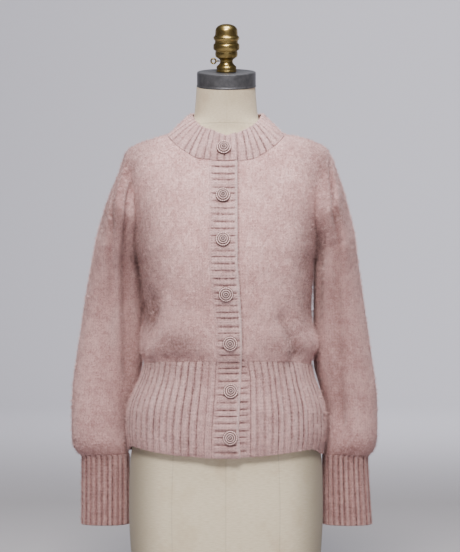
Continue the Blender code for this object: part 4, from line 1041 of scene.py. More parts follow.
def sampled(values, rows, columns, at_row, at_column):
    """Values of a table between its rows and columns."""
    r = np.clip(np.interp(at_row, rows, np.arange(len(rows))), 0, len(rows) - 1.001)
    c = np.clip(np.interp(at_column, columns, np.arange(len(columns))), 0, len(columns) - 1.001)
    low_r, low_c = r.astype(int), c.astype(int)
    s, t = r - low_r, c - low_c
    below = values[low_r, low_c] * (1 - t) + values[low_r, low_c + 1] * t
    above = values[low_r + 1, low_c] * (1 - t) + values[low_r + 1, low_c + 1] * t
    return below * (1 - s) + above * s


def body_uv(angle, z, arcs):
    """Where a place on the body is in the knitting: across the stitch columns and up the rows."""
    angles, heights, around, upward = arcs
    short_way = wrapped(angle, -180)
    whole = np.interp(z, heights, around[:, -1] - around[:, 0])
    across = sampled(around, heights, angles, z, short_way) + np.where(angle > 180, whole, 0)
    return np.stack((across, sampled(upward, heights, angles, z, short_way)), -1)


def fashioning(outside, edge, first_row):
    """Marks of the decreases along a raglan seam: how strong one is at each point of a grid."""
    across = travelled(outside, 1)
    away = across if edge == 0 else across[:, -1:] - across
    line = travelled(outside, 0)[:, edge][:, None]
    beat = np.cos(2 * np.pi * line / MARK_STEP) ** 2
    marks = np.exp(-((away - MARK_INSET) / MARK_WIDTH) ** 2) * beat ** 2
    marks[:first_row] = 0
    return marks


def both_seam_marks(outside, seam_row):
    """The marks along both raglan seams, from a little above the row where the seams start."""
    first_row = seam_row + MARK_FIRST_ROW
    return fashioning(outside, 0, first_row) + fashioning(outside, -1, first_row)


def raglan_stations():
    return np.linspace(RAGLAN_START, RAGLAN_END, RAGLAN_ROWS + 1)


def centre_front_x(side, z):
    """X of the seam between a front and its band."""
    if side == LEFT:
        return band_edge(BUTTON_BAND, "left", z) + BAND_GAP
    return band_edge(BUTTONHOLE_BAND, "right", z) - BAND_GAP


def centre_front_angle(side, z):
    return front_angle(centre_front_x(side, z), z)


def lower_rows(start_angle, end_angle, shares):
    """Angles and heights of rows from the waist seam up to the underarm."""
    even = np.linspace(LOWEST_ROWS[-1], 1, LOWER_ROWS + 2 - len(LOWEST_ROWS))
    fractions = np.concatenate((LOWEST_ROWS[:-1], even))[:, None]
    z = UNDERARM_Z * fractions + WAIST_Z * (1 - fractions) + 0 * shares
    for _ in range(3):
        start = start_angle(z[:, 0])[:, None]
        angle = start + (end_angle - start) * shares
        foot = waist_z(angle) + SEAM
        z = foot + fractions * (UNDERARM_Z - foot)
    return angle, z


def seated(inside, normal, edge, side, where, first_row):
    """Move a panel's edge, and its wall's direction there, to the raglan seam."""
    point, wall_way, to_sleeve = raglan_seam(side, where, raglan_stations())
    point = point - SEAM * to_sleeve
    point[0, 1] += SEAM if where == "back" else -SEAM
    inside[first_row:, edge] = point
    normal[first_row:, edge] = wall_way


def sheet_piece(name, material, hair, inside, normal, share, uv, tint, count, seed, ring_rows=0, relief=0.0):
    """Build one plain knitted piece with its fibres."""
    outside = inside + normal * (CLOTH * share + relief)[..., None]
    piece = shell(name, inside, outside, uv, tint, material, ring_rows)
    sign = fibre_sign(outside, normal)
    fuzz = fibres(name + "_fibres", outside, tint, sign, count, seed, hair)
    return piece, fuzz


def fibre_sign(outside, normal):
    """Which way a grid's own cross product has to be turned to point out of the cloth."""
    middle = (outside.shape[0] // 2, outside.shape[1] // 3)
    across = outside[middle[0], middle[1] + 1] - outside[middle]
    upward = outside[middle[0] + 1, middle[1]] - outside[middle]
    return float(np.sign(np.dot(np.cross(across, upward), normal[middle])))


def front(side, arcs, material, hair):
    """A front, from the waist seam to the underarm and then between the neck and the raglan seam."""
    shares = spread(PANEL_COLUMNS)
    side_angle = side * (90 - SIDE_SEAM_ANGLE)
    low_angle, low_z = lower_rows(lambda z: centre_front_angle(side, z), side_angle, shares)
    outer_angle, outer_z = raglan_place(side, "front", raglan_stations())
    corner_z = neck_z(centre_front_angle(side, np.array(NECK_FRONT_Z)))
    centre_z = np.linspace(UNDERARM_Z, corner_z, ROWS_AT_CENTRE_FRONT + 1)
    centre_angle = centre_front_angle(side, centre_z)
    neck_rows = RAGLAN_ROWS - ROWS_AT_CENTRE_FRONT
    neck_angle = np.linspace(centre_angle[-1], outer_angle[-1] - side * PANEL_TIP, neck_rows + 1)[1:]
    inner_angle = np.concatenate((centre_angle, neck_angle))
    inner_z = np.concatenate((centre_z, neck_z(neck_angle)))
    high_angle = inner_angle[:, None] + (outer_angle - inner_angle)[:, None] * shares
    high_z = inner_z[:, None] + (outer_z - inner_z)[:, None] * shares
    angle = np.concatenate((low_angle[:-1], high_angle))
    z = np.concatenate((low_z[:-1], high_z))
    normal = torso_normal(angle, z)
    normal[0] = level(normal[0])
    inside = torso(angle, z)
    if side == RIGHT:
        inside = inside + normal * right_lift(inside, z)[..., None]
    first = LOWER_ROWS
    seated(inside, normal, -1, side, "front", first)
    neck_way = neck_seam(inner_angle[ROWS_AT_CENTRE_FRONT:])[2] * NECK_GAP
    inside[first + ROWS_AT_CENTRE_FRONT:, 0] += neck_way
    inside[-1, 1:] += neck_way[-1]
    marks = fashioning(inside, -1, first + MARK_FIRST_ROW)
    share = edge_share(inside, columns=(HIDDEN_EDGE, HIDDEN_EDGE))
    tint = MARK_TINT * marks + body_shade(angle, z)
    if side == LEFT:
        beyond = inside[..., 0] - band_edge(BUTTONHOLE_BAND, "left", z)
        tint = tint - BAND_SHADOW * np.exp(-((beyond - BAND_SHADOW_PLACE) / BAND_SHADOW_WIDTH) ** 2)
    return sheet_piece(
        f"knit_front_{side_name(side)}", material, hair, inside, normal, share,
        body_uv(angle, z, arcs), tint, FRONT_FIBRES, 10 + side, relief=MARK_RELIEF * marks,
    )


def back(arcs, material, hair):
    """The back, in one piece from side seam to side seam and between the raglan seams."""
    shares = spread(BACK_COLUMNS)
    start = 90 + SIDE_SEAM_ANGLE
    low_angle, low_z = lower_rows(lambda z: np.full(len(z), start), 360 - start, shares)
    left_angle, left_z = raglan_place(LEFT, "back", raglan_stations())
    right_angle, right_z = raglan_place(RIGHT, "back", raglan_stations())
    high_angle = left_angle[:, None] + (right_angle + 360 - left_angle)[:, None] * shares
    edge_z = left_z[:, None] + (right_z - left_z)[:, None] * shares
    rise = np.linspace(0, 1, RAGLAN_ROWS + 1)[:, None]
    high_z = edge_z + (neck_z(high_angle[-1:]) - edge_z[-1:]) * rise
    angle = np.concatenate((low_angle[:-1], high_angle))
    z = np.concatenate((low_z[:-1], high_z))
    inside = torso(angle, z)
    normal = torso_normal(angle, z)
    normal[0] = level(normal[0])
    first = LOWER_ROWS
    seated(inside, normal, 0, LEFT, "back", first)
    seated(inside, normal, -1, RIGHT, "back", first)
    inside[-1] += neck_seam(angle[-1])[2] * NECK_GAP
    marks = both_seam_marks(inside, first)
    share = edge_share(inside, columns=(HIDDEN_EDGE, HIDDEN_EDGE))
    return sheet_piece(
        "knit_back", material, hair, inside, normal, share, body_uv(angle, z, arcs),
        MARK_TINT * marks + body_shade(angle, z), BACK_FIBRES, 15, relief=MARK_RELIEF * marks,
    )


def sleeve_piece(side, material, hair):
    """A raglan sleeve: a closed tube up to the underarm, then open along its two seams."""
    lowest = CUFF_SEAM + SEAM + np.array(SLEEVE_LOWEST_ROWS)
    tube = np.concatenate((lowest, np.linspace(*SLEEVE_TUBE, SLEEVE_ROWS - len(lowest))))
    stations = np.concatenate((tube, raglan_stations()))
    ring = spread(SLEEVE_COLUMNS, SLEEVE_COLUMN_EASE)
    inside, normal = sleeve(side, stations[:, None], ring[None, :])
    normal[0] = level(normal[0])
    first = len(tube)
    for edge, where in ((0, "front"), (-1, "back")):
        point, wall_way, to_sleeve = raglan_seam(side, where, raglan_stations())
        inside[first:, edge] = point + SEAM * to_sleeve
        normal[first:, edge] = wall_way
    # At the underarm the two seams meet in one point, with its wall straight down
    underarm = raglan_seam(side, "front", raglan_stations())[0][0]
    inside[first, 0] = underarm + np.array((side * SEAM, 0, 0))
    normal[first, 0] = -UP * 2
    inside[first, -1] = inside[first, 0]
    normal[first, -1] = normal[first, 0]
    _, seam_normal, neck_way = neck_seam(sleeve_neck_angle(side, ring))
    inside[-1] += neck_way * NECK_GAP
    normal[-1] = seam_normal
    share = edge_share(inside, columns=(HIDDEN_EDGE, HIDDEN_EDGE), from_row=first)
    marks = both_seam_marks(inside, first)
    across = travelled(inside, 1)
    middle = SLEEVE_COLUMNS // 2
    upward = np.broadcast_to(travelled(inside, 0)[:, middle:middle + 1], across.shape)
    uv = np.stack((across - across[:, middle:middle + 1], upward), -1)
    return sheet_piece(
        f"knit_sleeve_{side_name(side)}", material, hair, inside, normal, share, uv,
        MARK_TINT * marks + sleeve_shade(side, stations[:, None], ring[None, :]),
        SLEEVE_FIBRES, 20 + side, ring_rows=first + 1, relief=MARK_RELIEF * marks,
    )


def ribbed_piece(name, material, hair, base, normal, height, tint, uv, count, seed, ring_rows=0):
    """Build one ribbed piece with its fibres."""
    outside = base + normal * height[..., None]
    piece = shell(name, base, outside, uv, tint, material, ring_rows)
    sign = fibre_sign(outside, normal)
    fuzz = fibres(name + "_fibres", outside, tint, sign, count, seed, hair, RIB_FIBRE_LENGTH)
    return piece, fuzz


def cuff(side, material, hair):
    """A long ribbed cuff, a closed tube with an open end."""
    stations = CUFF_HEM + (CUFF_SEAM - SEAM - CUFF_HEM) * spread(CUFF_ROWS)
    fine = np.linspace(0, 1, FINE_PLACES)
    curve = sleeve_plain(side, np.full(FINE_PLACES, CUFF_MIDDLE), fine)
    places, heights, tints = rib_profile(CUFF_RIBS, 35 + side)
    ring = even_places(curve, fine, places)
    base = sleeve_plain(side, stations[:, None], ring[None, :])
    middle = sleeve_plain(side, stations[:, None], 0.25) + sleeve_plain(side, stations[:, None], 0.75)
    ahead = np.concatenate((base[:, 1:], base[:, 1:2]), axis=1)
    behind = np.concatenate((base[:, -2:-1], base[:, :-1]), axis=1)
    normal = unit(np.cross(ahead - behind, UP))
    normal = normal * np.sign(dot(normal, (base - middle / 2) * np.array((1.0, 1.0, 0.0))))
    share = edge_share(base, rows=(FREE_EDGE, SEWN_EDGE), columns=(1, 1))
    height = (RIB_BASE + RIB_HEIGHT * heights[None, :]) * share
    uv = np.stack((travelled(base, 1), travelled(base, 0)), -1)
    tint = np.broadcast_to(tints, height.shape)
    return ribbed_piece(
        f"ribbed_cuff_{side_name(side)}", material, hair, base, normal, height, tint, uv, CUFF_FIBRES,
        30 + side, ring_rows=len(stations),
    )


def waistband(name, start_angle, end_angle, ribs, count, seed, material, hair, side=None):
    """One ribbed piece of the deep waistband, with its ribs evenly spaced round the body."""
    places, heights, tints = rib_profile(ribs, seed)
    fine = np.linspace(0, 1, FINE_PLACES)
    fractions = spread(WAIST_ROWS)
    angle = np.zeros((len(fractions), len(places)))
    z = np.zeros_like(angle)
    for row, fraction in enumerate(fractions):
        start = start_angle(HEM_Z + fraction * (WAIST_Z - HEM_Z))
        sweep = start + (end_angle - start) * fine
        rise = hem_z(sweep) + fraction * (waist_z(sweep) - SEAM - hem_z(sweep))
        angle[row] = even_places(torso(sweep, rise), sweep, places)
        z[row] = hem_z(angle[row]) + fraction * (waist_z(angle[row]) - SEAM - hem_z(angle[row]))
    base = torso(angle, z)
    normal = torso_normal(angle, z)
    normal[-1] = level(normal[-1])
    if side == RIGHT:
        base = base + normal * right_lift(base, z)[..., None]
    from_hem = travelled(base, 0)
    soft = HEM_RIB + (1 - HEM_RIB) * ease(from_hem / HEM_FADE)
    height = (RIB_BASE + RIB_HEIGHT * heights * soft) * edge_share(base, rows=(FREE_EDGE, SEWN_EDGE))
    uv = np.stack((travelled(base, 1), from_hem), -1)
    return ribbed_piece(name, material, hair, base, normal, height, tints * soft, uv, count, seed)


def front_band(name, edges, lift, selvage, edges_across, seed, material, hair):
    """A band down the front with ribs across it, and a plain selvage where its edge shows."""
    places, heights, tints = rib_profile(BAND_RIBS, seed)
    across = spread(BAND_COLUMNS)[:, None]
    base, normal, angle = band_surface(edges, lift, across, places[None, :])
    base[:, -1] += neck_seam(angle[:, -1])[2] * NECK_GAP
    from_edge = travelled(base, 0)
    to_edge = from_edge[-1:] - from_edge
    plain = ease((SELVAGE + 2 - to_edge) / 3) if selvage else 0 * to_edge
    sewn = ease(1 - (from_edge if selvage else to_edge) / SEWN_FADE)
    share = edge_share(base, rows=edges_across, columns=(FREE_EDGE, SEWN_EDGE))
    uneven = heights + (SELVAGE_RIB - heights) * plain
    uneven = uneven + (SEWN_RIB - uneven) * sewn
    height = (RIB_BASE + RIB_HEIGHT * uneven) * share
    # Painted shade and highlight of the ribs, a painted highlight on the selvage, and none near the sewn edge
    tint = (tints * (1 - plain) + SELVAGE_HIGHLIGHT * plain) * (1 - sewn)
    uv = np.stack((travelled(base, 1), from_edge), -1)
    return ribbed_piece(name, material, hair, base, normal, height, tint, uv, BAND_FIBRES, seed)


def neckband(material, hair):
    """A ribbed strip round the neck whose top end laps over its under end at the front."""
    start = float(front_angle(np.array(NECKBAND_UNDER_END_X), np.array(NECK_FRONT_Z)))
    end = 360 + float(front_angle(np.array(NECKBAND_TOP_END_X), np.array(NECK_FRONT_Z)))
    places, heights, tints = rib_profile(NECK_RIBS, 43)
    fine = np.linspace(start, end, 600)
    angle = even_places(neckband_surface(fine, np.full(600, 0.5))[0], fine, places)
    rows = spread(NECKBAND_ROWS)
    grid_angle = np.broadcast_to(angle, (len(rows), len(angle)))
    share = np.broadcast_to(rows[:, None], grid_angle.shape)
    base, normal = neckband_surface(grid_angle, share)
    base[0] -= neck_seam(angle)[2] * NECK_GAP
    share = edge_share(base, rows=(SEWN_EDGE, FREE_EDGE), columns=(FREE_EDGE, FREE_EDGE))
    height = (RIB_BASE + RIB_HEIGHT * heights) * share
    uv = np.stack((travelled(base, 1), travelled(base, 0)), -1)
    tint = np.broadcast_to(tints, height.shape)
    return ribbed_piece("ribbed_neckband", material, hair, base, normal, height, tint, uv, NECK_FIBRES, 42)


def linear(code):
    """A colour from its sRGB code."""
    parts = [int(code[start:start + 2], 16) / 255 for start in (1, 3, 5)]
    return tuple(p / 12.92 if p <= 0.04045 else ((p + 0.055) / 1.055) ** 2.4 for p in parts) + (1.0,)


def add(tree, kind, inputs=None, **settings):
    """A node with its settings, and with a number, a colour or another node's output on each input."""
    node = tree.nodes.new(kind)
    for name, value in settings.items():
        setattr(node, name, value)
    for socket, value in (inputs or {}).items():
        if isinstance(value, bpy.types.NodeSocket):
            tree.links.new(value, node.inputs[socket])
        else:
            node.inputs[socket].default_value = value
    return node


def new_material(name, colour, roughness, **sockets):
    """A material with its shader's constants set on the shader's own sockets."""
    material = bpy.data.materials.new(name)
    material.use_nodes = True
    shader = material.node_tree.nodes["Principled BSDF"]
    shader.inputs["Base Color"].default_value = linear(colour)
    shader.inputs["Roughness"].default_value = roughness
    for socket, value in sockets.items():
        shader.inputs[socket.replace("_", " ")].default_value = value
    return material, material.node_tree, shader


def by_shade_pinkness(tree, pale, deep):
    """A colour that runs from its pale shade to its deep one as the cloth is drawn deeper pink, which is
    painted shade.
    """
    share = add(tree, "ShaderNodeAttribute", attribute_name="shade_pinkness").outputs["Fac"]
    mixed = add(
        tree, "ShaderNodeMix", {0: share, 6: linear(pale), 7: linear(deep)}, data_type="RGBA"
    )
    return mixed.outputs[2]


def knitted_mohair(name, light, dark, groove, stitch_width, stitch_height, stitch_depth):
    """Hand-knitted mohair and wool, brushed: a matt, clouded colour with a fine nap, through which the
    stitches only just show. The grooves between ribs are darker than the ribs, as painted shade, and so are
    the hollows between stitches and the folds and shadows that the tint marks; a tint above 0 is painted
    highlight."""
    material, tree, shader = new_material(
        name, light[0], 0.95, Sheen_Weight=0.4, Sheen_Roughness=0.55, Sheen_Tint=linear("#f6e9e8"),
        Specular_IOR_Level=0.12,
    )
    place = add(tree, "ShaderNodeTexCoord").outputs["Object"]
    cloth = add(tree, "ShaderNodeSeparateXYZ", {0: add(tree, "ShaderNodeUVMap", uv_map="cloth").outputs[0]})
    # Clouds about 40 mm across, tufts about 10 mm and nap about 3 mm
    clouds = add(tree, "ShaderNodeTexNoise", {"Vector": place, "Scale": 25.0, "Detail": 2.0})
    tufts = add(tree, "ShaderNodeTexNoise", {"Vector": place, "Scale": 90.0, "Detail": 3.0})
    nap = add(tree, "ShaderNodeTexNoise", {"Vector": place, "Scale": 260.0, "Detail": 3.0, "Distortion": 1.5})
    shade = add(tree, "ShaderNodeMath", {0: clouds.outputs[0], 1: tufts.outputs[0]}, operation="ADD")
    shade = add(
        tree, "ShaderNodeMath", {0: nap.outputs[0], 1: 2.2, 2: shade.outputs[0]}, operation="MULTIPLY_ADD"
    )
    shade = add(tree, "ShaderNodeMapRange", {"Value": shade.outputs[0], "From Min": 1.75, "From Max": 2.45})
    # Each stitch is a V of two legs, drawn at its real size
    half_stitch = stitch_width * MM / 2
    across = add(tree, "ShaderNodeMath", {0: cloth.outputs[0], 1: half_stitch}, operation="PINGPONG")
    across = add(tree, "ShaderNodeMath", {0: across.outputs[0], 1: 1 / half_stitch}, operation="MULTIPLY")
    slant = add(tree, "ShaderNodeMath", {0: across.outputs[0], 1: 0.6}, operation="MULTIPLY")
    along = add(
        tree, "ShaderNodeMath", {0: cloth.outputs[1], 1: 1 / (stitch_height * MM), 2: slant.outputs[0]},
        operation="MULTIPLY_ADD",
    )
    leg = add(tree, "ShaderNodeMath", {0: along.outputs[0], 1: 0.5}, operation="PINGPONG")
    hump = add(
        tree, "ShaderNodeMath", {0: across.outputs[0], 1: 0.6, 2: leg.outputs[0]}, operation="MULTIPLY_ADD"
    )
    wool = add(
        tree, "ShaderNodeMix",
        {0: shade.outputs[0], 6: by_shade_pinkness(tree, *dark), 7: by_shade_pinkness(tree, *light)}, data_type="RGBA",
    )
    # Painted shade: a tint below 0 mixes the wool towards the shade colour (the third pair)
    tint = add(tree, "ShaderNodeAttribute", attribute_name="tint").outputs["Fac"]
    deep = add(tree, "ShaderNodeMath", {0: tint, 1: -0.85}, operation="MULTIPLY", use_clamp=True)
    # Stray fibres cross a groove every 5 mm or so and break its line of painted shade
    strays = add(tree, "ShaderNodeTexNoise", {"Vector": place, "Scale": 190.0, "Detail": 1.0})
    strays = add(
        tree, "ShaderNodeMapRange",
        {"Value": strays.outputs[0], "From Min": 0.38, "From Max": 0.62, "To Min": 0.45, "To Max": 1.05},
    )
    deep = add(tree, "ShaderNodeMath", {0: deep.outputs[0], 1: strays.outputs[0]}, operation="MULTIPLY")
    # Painted shade in the hollows between the stitches' legs
    between = add(
        tree, "ShaderNodeMapRange", {"Value": hump.outputs[0], "From Min": 0.5, "From Max": 0.0}
    )
    between = add(tree, "ShaderNodeMath", {0: between.outputs[0], 1: stitch_depth}, operation="MULTIPLY")
    deep = add(
        tree, "ShaderNodeMath", {0: deep.outputs[0], 1: between.outputs[0]}, operation="ADD", use_clamp=True
    )
    wool = add(
        tree, "ShaderNodeMix",
        {0: deep.outputs[0], 6: wool.outputs[2], 7: by_shade_pinkness(tree, *groove)}, data_type="RGBA",
    )
    # Painted highlight: a tint above 0 pales the wool
    pale = add(tree, "ShaderNodeMath", {0: tint, 1: 1.0}, operation="MULTIPLY", use_clamp=True)
    wool = add(
        tree, "ShaderNodeMix",
        {0: pale.outputs[0], 6: wool.outputs[2], 7: linear("#eee0de")}, data_type="RGBA",
    )
    tree.links.new(wool.outputs[2], shader.inputs["Base Color"])
    stitches = add(
        tree, "ShaderNodeBump", {"Strength": stitch_depth, "Distance": 0.0015, "Height": hump.outputs[0]}
    )
    fluff = add(
        tree, "ShaderNodeTexNoise",
        {"Vector": place, "Scale": 240.0, "Detail": 5.0, "Roughness": 0.7, "Distortion": 2.0},
    )
    napped = add(
        tree, "ShaderNodeBump",
        {"Strength": 0.8, "Distance": 0.003, "Height": fluff.outputs[0], "Normal": stitches.outputs[0]},
    )
    tree.links.new(napped.outputs[0], shader.inputs["Normal"])
    return material


def mohair_fibre():
    """Loose mohair fibre: fine, pale and softly shiny, a little lighter where it catches the light."""
    material, tree, shader = new_material(
        "mohair_fibre", "#efdedc", 0.7, Sheen_Weight=0.3, Sheen_Tint=linear("#fff4f2"),
        Specular_IOR_Level=0.25,
    )
    place = add(tree, "ShaderNodeTexCoord").outputs["Object"]
    shade = add(tree, "ShaderNodeTexNoise", {"Vector": place, "Scale": 160.0, "Detail": 1.0})
    spread_out = add(
        tree, "ShaderNodeMapRange", {"Value": shade.outputs[0], "From Min": 0.35, "From Max": 0.65}
    )
    dark = by_shade_pinkness(tree, "#d6aaa6", "#ab8380")
    light = by_shade_pinkness(tree, "#fddcd8", "#d3ada9")
    colour = add(
        tree, "ShaderNodeMix", {0: spread_out.outputs[0], 6: dark, 7: light}, data_type="RGBA"
    )
    # Painted shade: a fibre on shaded cloth is mixed towards a darker colour
    tint = add(tree, "ShaderNodeAttribute", attribute_name="tint").outputs["Fac"]
    deep = add(tree, "ShaderNodeMath", {0: tint, 1: -0.7}, operation="MULTIPLY", use_clamp=True)
    colour = add(
        tree, "ShaderNodeMix",
        {0: deep.outputs[0], 6: colour.outputs[2], 7: by_shade_pinkness(tree, "#8f6a66", "#6f4844")},
        data_type="RGBA",
    )
    tree.links.new(colour.outputs[2], shader.inputs["Base Color"])
    return material


def twisted_cord():
    """Pink cotton cord, plied and wound: a soft shine, and a slanting groove between its plies, darkened with
    painted shade.
    """
    material, tree, shader = new_material(
        "wound_cotton_cord", "#cdb4b2", 0.75, Sheen_Weight=0.35, Sheen_Tint=linear("#fff0ee"),
        Specular_IOR_Level=0.3,
    )
    turn = add(tree, "ShaderNodeSeparateXYZ", {0: add(tree, "ShaderNodeUVMap", uv_map="UVMap").outputs[0]})
    # The plies are drawn twice as coarse as real ones, so that they show
    ply = add(
        tree, "ShaderNodeMath", {0: turn.outputs[0], 1: 22.0, 2: turn.outputs[1]}, operation="MULTIPLY_ADD"
    )
    ply = add(tree, "ShaderNodeMath", {0: ply.outputs[0], 1: 0.5}, operation="PINGPONG")
    raised = add(tree, "ShaderNodeBump", {"Strength": 1.0, "Distance": 0.0015, "Height": ply.outputs[0]})
    tree.links.new(raised.outputs[0], shader.inputs["Normal"])
    # Painted shade: the cord is darker in the groove between its plies
    share = add(tree, "ShaderNodeMapRange", {"Value": ply.outputs[0], "From Min": 0.08, "From Max": 0.24})
    colour = add(
        tree, "ShaderNodeMix",
        {0: share.outputs[0], 6: linear("#ad8582"), 7: linear("#ffddd9")}, data_type="RGBA",
    )
    tree.links.new(colour.outputs[2], shader.inputs["Base Color"])
    return material


def woven_linen():
    """Unbleached linen, plain woven and stretched over the form: matt, slubbed, faintly stained, with
    flat seams down the middle and the princess lines and round the foot of the neck."""
    material, tree, shader = new_material(
        "woven_linen", "#ddd3c4", 0.9, Sheen_Weight=0.15, Specular_IOR_Level=0.2
    )
    place = add(tree, "ShaderNodeTexCoord").outputs["Object"]
    cloth = add(tree, "ShaderNodeSeparateXYZ", {0: add(tree, "ShaderNodeUVMap", uv_map="cloth").outputs[0]})
    around, height = cloth.outputs[0], cloth.outputs[1]
    # Threads are drawn 1.1 mm apart, twice as coarse as real ones, so that they show
    warp = add(tree, "ShaderNodeMath", {0: around, 1: THREAD * MM / 2}, operation="PINGPONG")
    weft = add(tree, "ShaderNodeMath", {0: height, 1: THREAD * MM / 2}, operation="PINGPONG")
    weave = add(tree, "ShaderNodeMath", {0: warp.outputs[0], 1: weft.outputs[0]}, operation="ADD")
    weave = add(
        tree, "ShaderNodeMath", {0: weave.outputs[0], 1: 1 / (THREAD * MM)}, operation="MULTIPLY"
    )
    slubs = add(tree, "ShaderNodeMapping", {0: add(tree, "ShaderNodeUVMap", uv_map="cloth").outputs[0]})
    slubs.inputs["Scale"].default_value = (90.0, 700.0, 1.0)
    slub = add(tree, "ShaderNodeTexNoise", {"Vector": slubs.outputs[0], "Scale": 1.0, "Detail": 2.0})
    # Stains about 60 mm across
    stains = add(
        tree, "ShaderNodeTexNoise", {"Vector": place, "Scale": 17.0, "Detail": 5.0, "Roughness": 0.6}
    )
    stained = add(
        tree, "ShaderNodeMapRange",
        {"Value": stains.outputs[0], "From Min": 0.5, "From Max": 0.72, "To Max": 0.55},
    )
    # Distance from the nearest seam, in metres
    mirrored = add(tree, "ShaderNodeMath", {0: around}, operation="ABSOLUTE")
    princess = add(
        tree, "ShaderNodeMath", {0: mirrored.outputs[0], 1: PRINCESS_SEAM * MM}, operation="SUBTRACT"
    )
    princess = add(tree, "ShaderNodeMath", {0: princess.outputs[0]}, operation="ABSOLUTE")
    above = add(tree, "ShaderNodeMath", {0: height, 1: NECK_SEAM_Z * MM}, operation="GREATER_THAN")
    princess = add(
        tree, "ShaderNodeMath", {0: princess.outputs[0], 1: above.outputs[0]}, operation="ADD"
    )
    neck = add(tree, "ShaderNodeMath", {0: height, 1: NECK_SEAM_Z * MM}, operation="SUBTRACT")
    neck = add(tree, "ShaderNodeMath", {0: neck.outputs[0]}, operation="ABSOLUTE")
    nearest = add(
        tree, "ShaderNodeMath", {0: mirrored.outputs[0], 1: princess.outputs[0]}, operation="MINIMUM"
    )
    nearest = add(tree, "ShaderNodeMath", {0: nearest.outputs[0], 1: neck.outputs[0]}, operation="MINIMUM")
    seam = add(
        tree, "ShaderNodeMapRange",
        {"Value": nearest.outputs[0], "From Min": 0.0, "From Max": 0.0016, "To Min": 1.0, "To Max": 0.0},
    )
    tone = add(tree, "ShaderNodeMapRange", {"Value": slub.outputs[0], "From Min": 0.3, "From Max": 0.7})
    colour = add(
        tree, "ShaderNodeMix",
        {0: tone.outputs[0], 6: linear("#dccdae"), 7: linear("#ebdfc4")}, data_type="RGBA",
    )
    colour = add(
        tree, "ShaderNodeMix",
        {0: stained.outputs[0], 6: colour.outputs[2], 7: linear("#cdb896")}, data_type="RGBA",
    )
    # Painted shade: the sides are drawn darker than the front, from 100 mm out to 165 mm
    beside = add(tree, "ShaderNodeSeparateXYZ", {0: place})
    beside = add(tree, "ShaderNodeMath", {0: beside.outputs[0]}, operation="ABSOLUTE")
    beside = add(
        tree, "ShaderNodeMapRange",
        {"Value": beside.outputs[0], "From Min": 0.1, "From Max": 0.165, "To Max": 0.95},
        interpolation_type="SMOOTHSTEP",
    )
    colour = add(
        tree, "ShaderNodeMix",
        {0: beside.outputs[0], 6: colour.outputs[2], 7: linear("#958b78")}, data_type="RGBA",
    )
    line = add(tree, "ShaderNodeMath", {0: seam.outputs[0], 1: 0.2}, operation="MULTIPLY")
    colour = add(
        tree, "ShaderNodeMix",
        {0: line.outputs[0], 6: colour.outputs[2], 7: linear("#8f8678")}, data_type="RGBA",
    )
    tree.links.new(colour.outputs[2], shader.inputs["Base Color"])
    woven = add(tree, "ShaderNodeBump", {"Strength": 0.3, "Distance": 0.0004, "Height": weave.outputs[0]})
    sewn = add(
        tree, "ShaderNodeBump",
        {"Strength": 0.35, "Distance": 0.001, "Height": seam.outputs[0], "Normal": woven.outputs[0]},
        invert=True,
    )
    tree.links.new(sewn.outputs[0], shader.inputs["Normal"])
    return material


def grey_steel():
    """Zinc-grey painted steel, spun: half matt, with a faint mottle and fine scuffs."""
    material, tree, shader = new_material("painted_spun_steel", "#5b5c5f", 0.42, Metallic=0.55)
    place = add(tree, "ShaderNodeTexCoord").outputs["Object"]
    # Mottle about 8 mm across
    mottle = add(
        tree, "ShaderNodeTexNoise", {"Vector": place, "Scale": 120.0, "Detail": 5.0, "Roughness": 0.7}
    )
    share = add(tree, "ShaderNodeMapRange", {"Value": mottle.outputs[0], "From Min": 0.35, "From Max": 0.65})
    colour = add(
        tree, "ShaderNodeMix",
        {0: share.outputs[0], 6: linear("#535457"), 7: linear("#66676a")}, data_type="RGBA",
    )
    tree.links.new(colour.outputs[2], shader.inputs["Base Color"])
    gloss = add(
        tree, "ShaderNodeMapRange",
        {"Value": mottle.outputs[0], "From Min": 0.3, "From Max": 0.7, "To Min": 0.34, "To Max": 0.52},
    )
    tree.links.new(gloss.outputs[0], shader.inputs["Roughness"])
    return material


def aged_brass():
    """Turned brass, unlacquered and aged: warm metal, dulled brown in patches, brighter where handled."""
    material, tree, shader = new_material("aged_turned_brass", "#b39a5c", 0.35, Metallic=1.0)
    place = add(tree, "ShaderNodeTexCoord").outputs["Object"]
    # Patches about 14 mm across
    patches = add(
        tree, "ShaderNodeTexNoise", {"Vector": place, "Scale": 70.0, "Detail": 5.0, "Roughness": 0.65}
    )
    share = add(tree, "ShaderNodeMapRange", {"Value": patches.outputs[0], "From Min": 0.35, "From Max": 0.68})
    colour = add(
        tree, "ShaderNodeMix",
        {0: share.outputs[0], 6: linear("#b09b63"), 7: linear("#6b5934")}, data_type="RGBA",
    )
    tree.links.new(colour.outputs[2], shader.inputs["Base Color"])
    gloss = add(
        tree, "ShaderNodeMapRange",
        {"Value": patches.outputs[0], "From Min": 0.35, "From Max": 0.7, "To Min": 0.24, "To Max": 0.5},
    )
    tree.links.new(gloss.outputs[0], shader.inputs["Roughness"])
    return material


